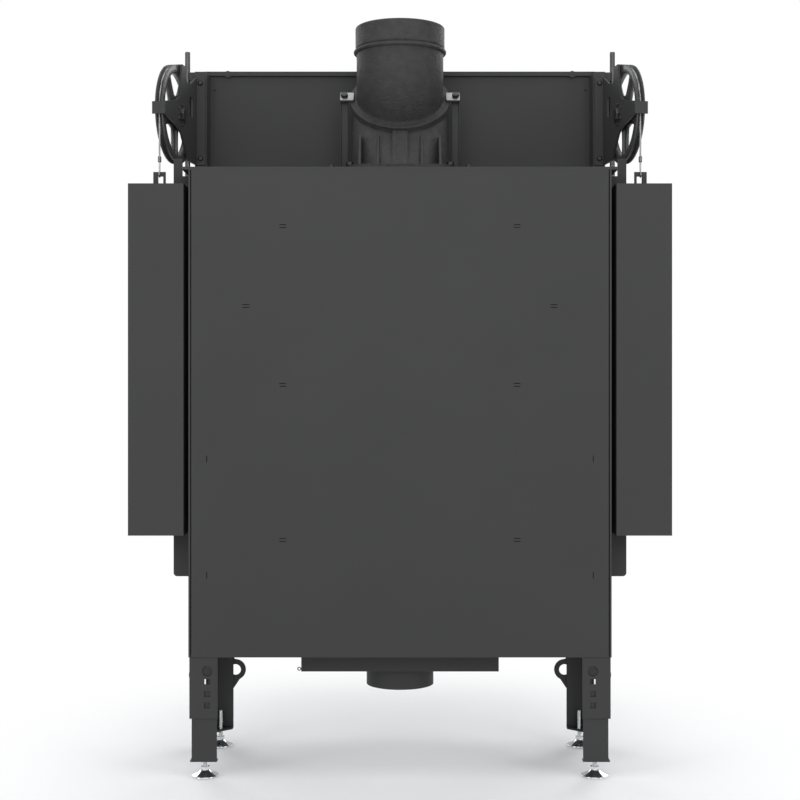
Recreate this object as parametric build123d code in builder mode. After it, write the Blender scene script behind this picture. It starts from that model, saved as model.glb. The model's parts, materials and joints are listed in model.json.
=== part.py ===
from build123d import *
import os
from math import asin, cos, degrees, radians, sin

os.makedirs("parts", exist_ok=True)

# Wood-burning fireplace insert with a door that lifts on wire ropes.
# Millimetres, +Z up, the floor at Z 0, the door faces -Y.
# Depths are written as s, the distance forward of the rear panel.
# Right means +X, as someone standing in front of the door sees it.

# Casing
body_width = 896.0
body_depth = 315.0
body_bottom = 259.0
body_top = 1292.0
side_sheet = 4.0
rear_sheet = 3.0
rear_edge_gap = 2.0
base_sheet = 4.0
top_sheet = 6.0
top_overhang = 14.0
panel_slot_length = 14.0
panel_slot_height = 1.4
panel_slot_pitch = 6.0

# Welded firebox
shell_side_gap = 34.0
shell_rear_gap = 25.0
shell_wall = 5.0
air_hole_radius = 60.0

# Front frame and its opening
frame_width = 940.0
frame_thickness = 8.0
frame_top = 870.0
opening_width = 800.0
opening_low = 315.0
opening_high = 800.0

# Lining
lining_thickness = 30.0
hearth_thickness = 38.0
lining_clearance = 1.0
lining_top = 960.0
baffle_thickness = 25.0
baffle_smoke_gap = 60.0
guard_radius = 7.0
guard_height = 48.0

# Lift wall above the top plate
wall_width = 892.0
wall_sheet = 5.0
wall_top = 1565.0
cap_sheet = 2.0
cap_drop = 8.0
cap_reach = 5.0
cap_half = 456.0
cap_screw_x = 402.0
wall_hole_x = 434.0
wall_hole_z = 1524.0
wall_hole_radius = 2.25
wall_hole_depth = 4.0

# Lift posts and door guide rods
post_inner_x = 444.0
post_width = 27.0
post_rear_s = 255.0
post_sheet = 3.0
post_top = 1555.0
ear_height = 19.0
ear_depth = 16.0
rod_radius = 6.0
rod_x = 490.0
rod_s = 270.0
rod_top = 1603.0
rod_bottom = 402.0
rod_lug_height = 18.0

# Rope pulleys
pulley_x = 500.0
pulley_s = 142.5
pulley_z = 1434.8
pulley_turn = 9.05
pulley_radius = 108.0
pulley_thickness = 18.0
rope_line_radius = 101.8
rope_diameter = 4.0
rim_depth = 17.0
spoke_count = 5
spoke_width = 30.0
spoke_thickness = 15.0
hub_radius = 30.0
axle_radius = 8.0
axle_clearance = 0.06
running_gap = 0.3
bracket_gap = 3.0
bracket_sheet = 5.0
keeper_sheet = 3.0
keeper_gap = 5.0
keeper_drop = 34.0
bracket_hole_width = 26.0
bracket_hole_height = 44.0
bracket_hole_corner = 6.0
hub_screw_count = 6
hub_screw_circle = 22.0
hub_screw_radius = 3.5
hub_screw_height = 3.0
post_bolt_high_z = 1528.0
post_bolt_low_z = 1355.0

# Counterweights
weight_inner_x = 458.5
weight_width = 117.5
weight_depth = 85.0
weight_low = 516.8
weight_high = 1262.7
weight_sheet = 2.0
ballast_height = 200.0
rivet_radius = 4.0
rivet_height = 2.5
rivet_zs = (575.0, 784.0, 992.0, 1202.0)
hanger_width = 26.5
hanger_leg = 5.0
hanger_leg_far = 10.5
hanger_height = 30.0
hanger_bar = 9.7
hanger_sheet = 4.0
ferrule_radius = 3.85
ferrule_length = 13.0
ferrule_low = 1313.5
ring_wire = 1.2
ring_radius = 7.5

# Counterweight guides
guide_s = 95.0
guide_width = 46.4
guide_sheet = 3.0
guide_low = 418.0
guide_high = 1330.0
guide_flange = 30.0
guide_tongue = 19.4

# Door
door_gap = 3.0
seal_thickness = 5.0
seal_width = 12.0
seal_gap = 0.3
leaf_width = 898.0
leaf_low = 288.0
leaf_high = 835.0
leaf_depth = 24.0
leaf_rim = 24.0
leaf_border = 44.0
leaf_lip = 12.0
glass_thickness = 4.0
glass_clearance = 1.0
carriage_bar = 26.0
arm_sheet = 4.0
arm_height = 50.0
arm_low_z = 430.0
arm_high_z = 830.0
bush_radius = 10.0
bush_clearance = 0.1
rope_lug_z = 880.0
rope_lug_height = 12.0
hinge_pin_radius = 3.0
hinge_pin_clearance = 0.08
hinge_barrel_radius = 6.0
hinge_barrel_length = 22.0
hinge_low_z = 380.0
hinge_high_z = 740.0
handle_radius = 6.0
handle_width = 220.0
handle_reach = 36.0
handle_post_radius = 5.0

# Flue outlet
collar_radius = 100.0
collar_low = 1588.0
collar_top = 1634.0
pipe_radius = 97.4
pipe_bore_radius = 91.0
bead_radius = 5.0
bead_z = 1580.0
bead_reach = 104.0
outlet_s = 180.0
outlet_tilt = 45.0
bend_radius = 98.0
bend_neck = 15.0
ring_radius_outer = 114.0
ring_z = 1480.0
elbow_ring = 7.0
base_ring = 6.0
casting_radius = 108.0
casting_bore_radius = 90.0
casting_s = 187.5
casting_flange_width = 256.0
casting_flange_depth = 225.0
casting_flange = 18.0
casting_corner = 60.0
rib_xs = (-88.0, -48.0, 48.0, 88.0)
rib_thickness = 5.0
rib_rise = 72.0
boss_width = 34.0
neck_overlap = 1.0
bore_overrun = 3.0
clamp_inner_x = 104.0
clamp_outer_x = 135.6
clamp_length = 30.0
clamp_thickness = 6.0
strut_width = 18.6
strut_depth = 6.0
clamp_bolt_x = 126.0
flange_bolt_x = 110.0
flange_bolt_s = (98.0, 277.0)
plate_bolt_x = 150.0
plate_sleeve_radius = 6.0
plate_sleeve_height = 14.0
hex_radius = 8.0
hex_height = 6.5
round_head_radius = 7.0
round_head_height = 5.0

# Air box below the body
air_s = 185.0
air_box_width = 430.0
air_box_depth = 200.0
air_box_height = 47.0
air_box_sheet = 2.0
spigot_radius = 75.0
spigot_wall = 2.0
spigot_bottom = 166.5
damper_width = 160.0
damper_sheet = 2.0
damper_gap = 0.3
damper_travel = 70.0
damper_bar_width = 12.0
damper_bar_height = 6.0
damper_knob_radius = 10.0
damper_knob_length = 20.0
pull_rod_radius = 1.5
pull_rod_s = 96.0
pull_eye_radius = 3.2
pull_eye_wire = 1.0

# Legs
sleeve_outer_x = 446.4
sleeve_width = 59.4
sleeve_low = 128.5
sleeve_inset = 3.0
leg_sheet = 3.0
leg_gap = 0.3
leg_width = 53.4
leg_outer_x = 442.0
leg_depth = 51.0
leg_low = 36.0
leg_top_gap = 1.0
foot_x = 416.0
foot_inset = 30.0
foot_pad_radius = 29.0
foot_pad_height = 4.0
foot_cone_top_radius = 10.0
foot_cone_height = 12.0
foot_hex_radius = 10.4
foot_hex_height = 6.0
foot_rod_radius = 5.0
foot_rod_top = 82.0
foot_rod_gap = 0.3
leg_bolt_x = 409.0
leg_bolt_z = 229.0
leg_bolt_head_radius = 11.0
leg_bolt_head_height = 2.8
leg_bolt_radius = 5.0
leg_nut_radius = 9.0
leg_nut_height = 7.0
leg_hole_side = 12.0
leg_hole_zs = (206.5, 181.0, 156.7)
side_bolt_z = 216.0
side_bolt_s = 33.0
side_bolt_head = 4.5
eye_x = 384.0
eye_z = 171.0
eye_radius = 24.0
eye_hole_radius = 12.5
eye_root_low = 131.0

# Fasteners on the casing
screw_radius = 5.0
screw_height = 2.0
screw_hole_radius = 2.0
side_screw_s = (20.0, 295.0)
side_screw_z = (300.0, 780.0, 1260.0)

# Places worked out from the sizes above
body_half = body_width / 2
inner_half = body_half - side_sheet
top_of_plate = body_top + top_sheet
base_top = body_bottom + base_sheet
shell_half = inner_half - shell_side_gap
chamber_half = shell_half - shell_wall
chamber_rear_s = shell_rear_gap + shell_wall
chamber_front_s = body_depth - shell_wall
chamber_floor = base_top + shell_wall
hearth_top = chamber_floor + hearth_thickness
leaf_back_s = body_depth + frame_thickness + seal_gap + seal_thickness
leaf_front_s = leaf_back_s + leaf_depth
leaf_half = leaf_width / 2
carriage_inner_half = leaf_half + door_gap
carriage_outer_half = carriage_inner_half + carriage_bar
carriage_low = leaf_low - door_gap - carriage_bar
carriage_high = leaf_high + door_gap + carriage_bar
arm_inner_x = carriage_outer_half - arm_sheet
handle_s = leaf_front_s + handle_reach
overall_depth = handle_s + handle_radius
rear_y = overall_depth / 2
weight_outer_x = weight_inner_x + weight_width
rope_half_run = rope_line_radius * cos(radians(pulley_turn))
rope_offset_x = rope_line_radius * sin(radians(pulley_turn))
rope_rear_x = pulley_x + rope_offset_x
rope_rear_s = pulley_s - rope_half_run
rope_front_x = pulley_x - rope_offset_x
rope_front_s = pulley_s + rope_half_run
rope_radius = rope_diameter / 2
air_box_bottom = body_bottom - air_box_height
air_box_half = air_box_width / 2
damper_low = air_box_bottom + air_box_sheet + damper_gap
damper_top = damper_low + damper_sheet
tilt_sin = sin(radians(outlet_tilt))
tilt_cos = cos(radians(outlet_tilt))
ring_s = outlet_s + bend_neck * tilt_sin + bend_radius * (1 - tilt_cos)
bend_end_z = ring_z + bend_neck * tilt_cos + bend_radius * tilt_sin
casting_top = top_of_plate + casting_flange


def y_at(s):
    """The Y of a depth s forward of the rear panel."""
    return rear_y - s


def point(x, s, z):
    """A place given by its X, its depth s and its Z."""
    return Vector(x, y_at(s), z)


def block(x, s, z, mode=Mode.ADD):
    """A box from pairs of limits in X, in depth and in Z."""
    with Locations(point((x[0] + x[1]) / 2, (s[0] + s[1]) / 2, (z[0] + z[1]) / 2)):
        Box(abs(x[1] - x[0]), abs(s[1] - s[0]), abs(z[1] - z[0]), mode=mode)


def peg(start, end, radius, mode=Mode.ADD):
    """A round bar between two places."""
    run = end - start
    with Locations(Plane(origin=start, z_dir=run)):
        Cylinder(radius, run.length, align=(Align.CENTER, Align.CENTER, Align.MIN), mode=mode)


def dome(start, end, radius, crown):
    """A domed round head: a short bar whose far rim is rounded to a crown radius."""
    run = end - start
    with Locations(Plane(origin=start, z_dir=run)):
        Cone(radius, crown, run.length, align=(Align.CENTER, Align.CENTER, Align.MIN))


def keep(piece, name):
    """Label a finished piece and write it."""
    piece.part.label = name
    export_step(piece.part, f"parts/{name}.step")


def sides():
    """The right-hand piece as modelled, then the left-hand one."""
    return (("right", False), ("left", True))


# Firebox: a welded box, open at the front and at the top, where the top plate closes it
with BuildPart() as firebox_shell:
    block((-shell_half, shell_half), (shell_rear_gap, body_depth), (base_top, body_top))
    block(
        (-chamber_half, chamber_half),
        (chamber_rear_s, chamber_front_s),
        (chamber_floor, body_top),
        mode=Mode.SUBTRACT,
    )
    block(
        (-opening_width / 2, opening_width / 2),
        (chamber_front_s, body_depth),
        (opening_low, opening_high),
        mode=Mode.SUBTRACT,
    )
    peg(point(0, air_s, base_top), point(0, air_s, chamber_floor), air_hole_radius, Mode.SUBTRACT)
keep(firebox_shell, "firebox_shell")

# Base plate between the side panels
with BuildPart() as base_plate:
    block((-inner_half, inner_half), (rear_sheet, body_depth), (body_bottom, base_top))
    peg(point(0, air_s, body_bottom), point(0, air_s, base_top), air_hole_radius, Mode.SUBTRACT)
keep(base_plate, "base_plate")

# Rear panel with the pairs of narrow slots that locate its spacers
rear_half = inner_half - rear_edge_gap
slot_rows = ((248.0, 1172.0), (248.0, 836.0), (326.0, 1003.0), (248.0, 508.0))
upright_slots = ((409.0, 679.0), (409.0, 433.0))
with BuildPart() as rear_panel:
    block((-rear_half, rear_half), (0, rear_sheet), (body_bottom, body_top))
    for slot_x, slot_z in slot_rows:
        with Locations(*[point(hand * slot_x, rear_sheet / 2, slot_z) for hand in (-1, 1)]):
            for drop in (-panel_slot_pitch / 2, panel_slot_pitch / 2):
                with Locations((0, 0, drop)):
                    Box(panel_slot_length, rear_sheet, panel_slot_height, mode=Mode.SUBTRACT)
    for slot_x, slot_z in upright_slots:
        with Locations(*[point(hand * slot_x, rear_sheet / 2, slot_z) for hand in (-1, 1)]):
            Box(panel_slot_height, rear_sheet, panel_slot_length, mode=Mode.SUBTRACT)
keep(rear_panel, "rear_panel")

# Top plate, wider than the body, with the flue hole
with BuildPart() as top_plate:
    top_half = body_half + top_overhang
    block((-top_half, top_half), (0, body_depth), (body_top, top_of_plate))
    peg(
        point(0, casting_s, body_top),
        point(0, casting_s, top_of_plate),
        casting_bore_radius,
        Mode.SUBTRACT,
    )
keep(top_plate, "top_plate")

# Side panels, each with the welded lug that holds the foot of a door guide rod
for hand, mirrored in sides():
    with BuildPart() as side_panel:
        block((inner_half, body_half), (0, body_depth), (body_bottom, body_top))
        block(
            (body_half, rod_x + rod_radius + side_sheet),
            (rod_s - ear_depth / 2, rod_s + ear_depth / 2),
            (rod_bottom, rod_bottom + rod_lug_height),
        )
        peg(
            point(rod_x, rod_s, rod_bottom),
            point(rod_x, rod_s, rod_bottom + rod_lug_height),
            rod_radius,
            Mode.SUBTRACT,
        )
        if mirrored:
            mirror(about=Plane.YZ, mode=Mode.REPLACE)
    keep(side_panel, f"side_panel_{hand}")

# Front frame: the flat ring that the door seals against
with BuildPart() as front_frame:
    block(
        (-frame_width / 2, frame_width / 2),
        (body_depth, body_depth + frame_thickness),
        (body_bottom, frame_top),
    )
    block(
        (-opening_width / 2, opening_width / 2),
        (body_depth, body_depth + frame_thickness),
        (opening_low, opening_high),
        mode=Mode.SUBTRACT,
    )
keep(front_frame, "front_frame")

# Hearth slab and wall linings
lining_half = chamber_half - lining_clearance
lining_rear_s = chamber_rear_s + lining_clearance
with BuildPart() as hearth_bricks:
    hearth_rear_s = lining_rear_s
    hearth_front_s = chamber_front_s - lining_clearance
    hearth_brick_width = (2 * lining_half - 2 * lining_clearance) / 3
    for column in (-1, 0, 1):
        middle = column * (hearth_brick_width + lining_clearance)
        block(
            (middle - hearth_brick_width / 2, middle + hearth_brick_width / 2),
            (hearth_rear_s, hearth_front_s),
            (chamber_floor, hearth_top),
        )
keep(hearth_bricks, "hearth_bricks")

with BuildPart() as lining_rear:
    block(
        (-lining_half, lining_half),
        (lining_rear_s, lining_rear_s + lining_thickness),
        (hearth_top, lining_top),
    )
keep(lining_rear, "lining_rear")

with BuildPart() as lining_sides:
    for hand in (-1, 1):
        block(
            (hand * (lining_half - lining_thickness), hand * lining_half),
            (lining_rear_s + lining_thickness, hearth_front_s),
            (hearth_top, lining_top),
        )
keep(lining_sides, "lining_sides")

# Baffle on top of the lining, short of the front wall so that smoke passes
with BuildPart() as baffle:
    block(
        (-lining_half, lining_half),
        (lining_rear_s, chamber_front_s - baffle_smoke_gap),
        (lining_top, lining_top + baffle_thickness),
    )
keep(baffle, "baffle")

# Log guard: a low rail on two short posts that stand on the hearth
with BuildPart() as log_guard:
    guard_half = lining_half - lining_thickness - 2 * guard_radius
    guard_s = hearth_front_s - 3 * guard_radius
    guard_z = hearth_top + guard_height
    peg(point(-guard_half, guard_s, guard_z), point(guard_half, guard_s, guard_z), guard_radius)
    for post_x in (-guard_half * 0.9, 0.0, guard_half * 0.9):
        peg(point(post_x, guard_s, hearth_top), point(post_x, guard_s, guard_z), guard_radius * 0.8)
keep(log_guard, "log_guard")

# Lift wall: the sheet that stands behind the raised door
wall_half = wall_width / 2
with BuildPart() as lift_wall_panel:
    block((-wall_half, wall_half), (body_depth, body_depth + wall_sheet), (frame_top, wall_top))
    for hand in (-1, 1):
        peg(
            point(hand * wall_hole_x, body_depth, wall_hole_z),
            point(hand * wall_hole_x, body_depth + wall_hole_depth, wall_hole_z),
            wall_hole_radius,
            Mode.SUBTRACT,
        )
keep(lift_wall_panel, "lift_wall_panel")

# Cap over the wall's top edge, folded down on both sides
cap_rear_s = body_depth - cap_reach - cap_sheet
cap_top = wall_top + cap_sheet
cap_screw_s = body_depth - cap_reach / 2
with BuildPart() as lift_wall_cap:
    cap_front_s = body_depth + wall_sheet + cap_sheet
    block((-cap_half, cap_half), (cap_rear_s, cap_front_s), (wall_top, cap_top))
    block((-cap_half, cap_half), (cap_rear_s, cap_rear_s + cap_sheet), (wall_top - cap_drop, wall_top))
    block((-cap_half, cap_half), (cap_front_s - cap_sheet, cap_front_s), (wall_top - cap_drop, wall_top))
    for hand in (-1, 1):
        peg(
            point(hand * cap_screw_x, cap_screw_s, wall_top),
            point(hand * cap_screw_x, cap_screw_s, cap_top),
            screw_hole_radius,
            Mode.SUBTRACT,
        )
keep(lift_wall_cap, "lift_wall_cap")

# Lift posts: folded channels that carry the wall, a pulley bracket and the rod's ear
post_outer_x = post_inner_x + post_width
for hand, mirrored in sides():
    with BuildPart() as lift_post:
        block((post_inner_x, post_outer_x), (post_rear_s, body_depth), (top_of_plate, post_top))
        block(
            (post_inner_x + post_sheet, post_outer_x),
            (post_rear_s + post_sheet, body_depth - post_sheet),
            (top_of_plate, post_top - post_sheet),
            mode=Mode.SUBTRACT,
        )
        block(
            (post_inner_x + post_sheet, rod_x),
            (rod_s - ear_depth / 2, rod_s + ear_depth / 2),
            (post_top - ear_height, post_top),
        )
        block(
            (rod_x - rod_radius * 0.75, rod_x + rod_radius),
            (rod_s - ear_depth, rod_s + ear_depth),
            (post_top - ear_height, post_top),
            mode=Mode.SUBTRACT,
        )
        peg(
            point(rod_x, rod_s, post_top - ear_height),
            point(rod_x, rod_s, post_top),
            rod_radius,
            Mode.SUBTRACT,
        )
        if mirrored:
            mirror(about=Plane.YZ, mode=Mode.REPLACE)
    keep(lift_post, f"lift_post_{hand}")

# Rods that the door carriage slides on
with BuildPart() as guide_rods:
    for hand in (-1, 1):
        peg(point(hand * rod_x, rod_s, rod_bottom), point(hand * rod_x, rod_s, rod_top), rod_radius)
    chamfer(guide_rods.edges().group_by(Axis.Z)[-1], 0.8)
keep(guide_rods, "guide_rods")

# Guides beside the body that keep the counterweights off the walls
for hand, mirrored in sides():
    with BuildPart() as counterweight_guide:
        guide_outer_x = body_half + guide_width
        block(
            (body_half, guide_outer_x),
            (guide_s, guide_s + guide_sheet),
            (guide_low, body_top - running_gap),
        )
        block(
            (guide_outer_x - guide_tongue, guide_outer_x),
            (guide_s, guide_s + guide_sheet),
            (body_top - 2 * guide_sheet, guide_high),
        )
        block(
            (body_half, body_half + guide_sheet),
            (guide_s, guide_s + guide_flange),
            (guide_low, body_top - running_gap),
        )
        low_corner = counterweight_guide.edges().filter_by(Axis.Y).group_by(Axis.Z)[0]
        fillet(low_corner.sort_by(Axis.X)[-1], 8.0)
        if mirrored:
            mirror(about=Plane.YZ, mode=Mode.REPLACE)
    keep(counterweight_guide, f"counterweight_guide_{hand}")

# The wheel's own plane on the right side: x runs forward, y runs up, z points at the body
turn_sin = sin(radians(pulley_turn))
turn_cos = cos(radians(pulley_turn))
wheel_plane = Plane(
    origin=point(pulley_x, pulley_s, pulley_z),
    x_dir=(-turn_sin, -turn_cos, 0),
    z_dir=(-turn_cos, turn_sin, 0),
)
wheel_half = pulley_thickness / 2
groove_root = rope_line_radius - rope_radius - running_gap
rim_inner = pulley_radius - rim_depth
bracket_low = wheel_half + bracket_gap
bracket_high = bracket_low + bracket_sheet

# Spoked pulleys with a rope groove
for hand, mirrored in sides():
    with BuildPart() as pulley:
        with BuildSketch(wheel_plane.offset(-wheel_half)):
            Circle(pulley_radius)
            Circle(rim_inner, mode=Mode.SUBTRACT)
        extrude(amount=pulley_thickness)
        chamfer(pulley.edges().filter_by(GeomType.CIRCLE), 1.2)
        with BuildSketch(wheel_plane.offset(-spoke_thickness / 2)):
            Circle(rim_inner + 1)
            with PolarLocations(0, spoke_count, 18):
                with BuildLine():
                    window_step = radians(360 / spoke_count / 2)
                    inner_edge = hub_radius + 8
                    inner_turn = degrees(window_step - asin(spoke_width / 2 / inner_edge))
                    outer_edge = rim_inner - 4
                    outer_turn = degrees(window_step - asin(spoke_width / 2 / outer_edge))
                    hub_side = CenterArc((0, 0), inner_edge, -inner_turn, 2 * inner_turn)
                    rim_side = CenterArc((0, 0), outer_edge, -outer_turn, 2 * outer_turn)
                    Line(hub_side @ 0, rim_side @ 0)
                    Line(hub_side @ 1, rim_side @ 1)
                make_face(mode=Mode.SUBTRACT)
        extrude(amount=spoke_thickness)
        with BuildSketch(wheel_plane.offset(-wheel_half)):
            Circle(hub_radius)
        extrude(amount=pulley_thickness)
        with BuildSketch(Plane(origin=wheel_plane.origin, x_dir=wheel_plane.x_dir, z_dir=(0, 0, 1))):
            with BuildLine():
                Polyline(
                    (groove_root, -rope_radius - 0.5),
                    (pulley_radius + 1, -wheel_half * 0.62),
                    (pulley_radius + 1, wheel_half * 0.62),
                    (groove_root, rope_radius + 0.5),
                    close=True,
                )
            make_face()
        revolve(axis=Axis(wheel_plane.origin, wheel_plane.z_dir), mode=Mode.SUBTRACT)
        with Locations(wheel_plane):
            Cylinder(axle_radius + axle_clearance, 2 * pulley_thickness, mode=Mode.SUBTRACT)
        if mirrored:
            mirror(about=Plane.YZ, mode=Mode.REPLACE)
    keep(pulley, f"pulley_{hand}")

# Pulley brackets: a plate beside the wheel, rope keepers and the flange on the post
flange_low = post_bolt_low_z - 15 - pulley_z
flange_high = post_bolt_high_z + 12 - pulley_z
reach_forward = (post_rear_s - bracket_sheet / 2 - pulley_s) / turn_cos
keeper_top = pulley_radius + 1.2
keeper_rear = -(pulley_radius + keeper_gap)
for hand, mirrored in sides():
    with BuildPart() as pulley_bracket:
        with BuildSketch(wheel_plane.offset(bracket_low)):
            with BuildLine():
                Polyline(
                    (keeper_rear - keeper_sheet, -18.8),
                    (-hub_radius, -hub_radius),
                    (0, -hub_radius - 12),
                    (reach_forward * 0.45, flange_low),
                    (reach_forward, flange_low),
                    (reach_forward, flange_high),
                    (reach_forward * 0.62, flange_high - 22),
                    (keeper_drop, keeper_top - keeper_drop),
                    (28, keeper_top + keeper_sheet),
                    (4, keeper_top + keeper_sheet),
                    (-12, hub_radius + 8),
                    (-hub_radius - 6, hub_radius - 4),
                    (keeper_rear - keeper_sheet, 7.7),
                    close=True,
                )
            make_face()
            with Locations((reach_forward * 0.62, 30)):
                RectangleRounded(bracket_hole_width, bracket_hole_height, bracket_hole_corner, mode=Mode.SUBTRACT)
        extrude(amount=bracket_sheet)
        with BuildSketch(wheel_plane.offset(-12)):
            with Locations((keeper_rear - keeper_sheet / 2, -5.5)):
                Rectangle(keeper_sheet, 26.5)
        extrude(amount=bracket_high + 12)
        with BuildSketch(wheel_plane.offset(-17)):
            with Locations((16, keeper_top + keeper_sheet / 2)):
                Rectangle(24, keeper_sheet)
        extrude(amount=bracket_high + 17)
        block(
            (post_inner_x + post_sheet, post_outer_x),
            (post_rear_s - bracket_sheet, post_rear_s),
            (flange_low + pulley_z, flange_high + pulley_z),
        )
        with Locations(wheel_plane):
            Cylinder(axle_radius, 4 * bracket_high, mode=Mode.SUBTRACT)
        if mirrored:
            mirror(about=Plane.YZ, mode=Mode.REPLACE)
    keep(pulley_bracket, f"pulley_bracket_{hand}")

# Axles with a spacer collar, an outer washer head and an inner hexagon head
with BuildPart() as pulley_axles:
    with BuildSketch(wheel_plane.offset(-wheel_half - 6)):
        Circle(axle_radius)
    extrude(amount=wheel_half + 6 + bracket_high + 8)
    with BuildSketch(wheel_plane.offset(wheel_half + running_gap)):
        Circle(axle_radius + 6)
    extrude(amount=bracket_gap - running_gap)
    with BuildSketch(wheel_plane.offset(-wheel_half - running_gap - 5)):
        Circle(axle_radius + 6)
    extrude(amount=5)
    with BuildSketch(wheel_plane.offset(bracket_high)):
        RegularPolygon(axle_radius + 6, 6)
    extrude(amount=8)
    for screw in range(hub_screw_count):
        screw_turn = radians(360 / hub_screw_count * (screw + 0.5))
        with BuildSketch(wheel_plane.offset(bracket_high)):
            with Locations((hub_screw_circle * cos(screw_turn), hub_screw_circle * sin(screw_turn))):
                Circle(hub_screw_radius)
        extrude(amount=hub_screw_height)
    mirror(about=Plane.YZ)
keep(pulley_axles, "pulley_axles")

# Wire ropes: a straight front run, a half turn over the wheel and a straight rear run
ferrule_top = ferrule_low + ferrule_length
for hand, mirrored in sides():
    with BuildPart() as rope_front:
        front_top = point(rope_front_x, rope_front_s, pulley_z)
        front_foot = point(rope_front_x, rope_front_s, rope_lug_z)
        peg(front_foot, front_top, rope_radius)
        peg(front_foot, front_foot + Vector(0, 0, ferrule_length), ferrule_radius)
        if mirrored:
            mirror(about=Plane.YZ, mode=Mode.REPLACE)
    keep(rope_front, f"rope_front_{hand}")

    with BuildPart() as rope_over_pulley:
        with BuildSketch(Plane.XY.offset(pulley_z)):
            with Locations((rope_rear_x, y_at(rope_rear_s))):
                Circle(rope_radius)
        revolve(axis=Axis(wheel_plane.origin, wheel_plane.z_dir), revolution_arc=-180)
        if mirrored:
            mirror(about=Plane.YZ, mode=Mode.REPLACE)
    keep(rope_over_pulley, f"rope_over_pulley_{hand}")

    with BuildPart() as rope_rear:
        rear_top = point(rope_rear_x, rope_rear_s, pulley_z)
        hanger_top = weight_high + hanger_height
        ring_middle = hanger_top - hanger_bar - running_gap + ring_radius - ring_wire
        peg(point(rope_rear_x, rope_rear_s, ferrule_low), rear_top, rope_radius)
        peg(
            point(rope_rear_x, rope_rear_s, ferrule_low),
            point(rope_rear_x, rope_rear_s, ferrule_top),
            ferrule_radius,
        )
        peg(
            point(rope_rear_x, rope_rear_s, ring_middle + ring_radius),
            point(rope_rear_x, rope_rear_s, ferrule_low),
            rope_radius * 0.75,
        )
        with Locations(
            Plane(origin=point(rope_rear_x, rope_rear_s, ring_middle), z_dir=(1, 0, 0))
        ):
            Torus(ring_radius, ring_wire)
        if mirrored:
            mirror(about=Plane.YZ, mode=Mode.REPLACE)
    keep(rope_rear, f"rope_rear_{hand}")

# Counterweights: a closed sheet case with a welded hanger, and steel ballast in its foot
for hand, mirrored in sides():
    with BuildPart() as counterweight:
        block((weight_inner_x, weight_outer_x), (0, weight_depth), (weight_low, weight_high))
        block(
            (weight_inner_x + weight_sheet, weight_outer_x - weight_sheet),
            (weight_sheet, weight_depth - weight_sheet),
            (weight_low + weight_sheet, weight_high - weight_sheet),
            mode=Mode.SUBTRACT,
        )
        for rivet_z in rivet_zs:
            rivet_seat = point(weight_outer_x, weight_depth / 2, rivet_z)
            dome(rivet_seat, rivet_seat + Vector(rivet_height, 0, 0), rivet_radius, rivet_radius * 0.6)
        hanger_low_x = rope_rear_x - hanger_width / 2
        hanger_s = (rope_rear_s - hanger_sheet / 2, rope_rear_s + hanger_sheet / 2)
        block((hanger_low_x, hanger_low_x + hanger_width), hanger_s, (weight_high, hanger_top))
        block(
            (hanger_low_x + hanger_leg, hanger_low_x + hanger_width - hanger_leg_far),
            hanger_s,
            (weight_high, hanger_top - hanger_bar),
            mode=Mode.SUBTRACT,
        )
        if mirrored:
            mirror(about=Plane.YZ, mode=Mode.REPLACE)
    keep(counterweight, f"counterweight_{hand}")

    with BuildPart() as ballast:
        block(
            (weight_inner_x + weight_sheet, weight_outer_x - weight_sheet),
            (weight_sheet, weight_depth - weight_sheet),
            (weight_low + weight_sheet, weight_low + weight_sheet + ballast_height),
        )
        if mirrored:
            mirror(about=Plane.YZ, mode=Mode.REPLACE)
    keep(ballast, f"ballast_{hand}")

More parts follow.
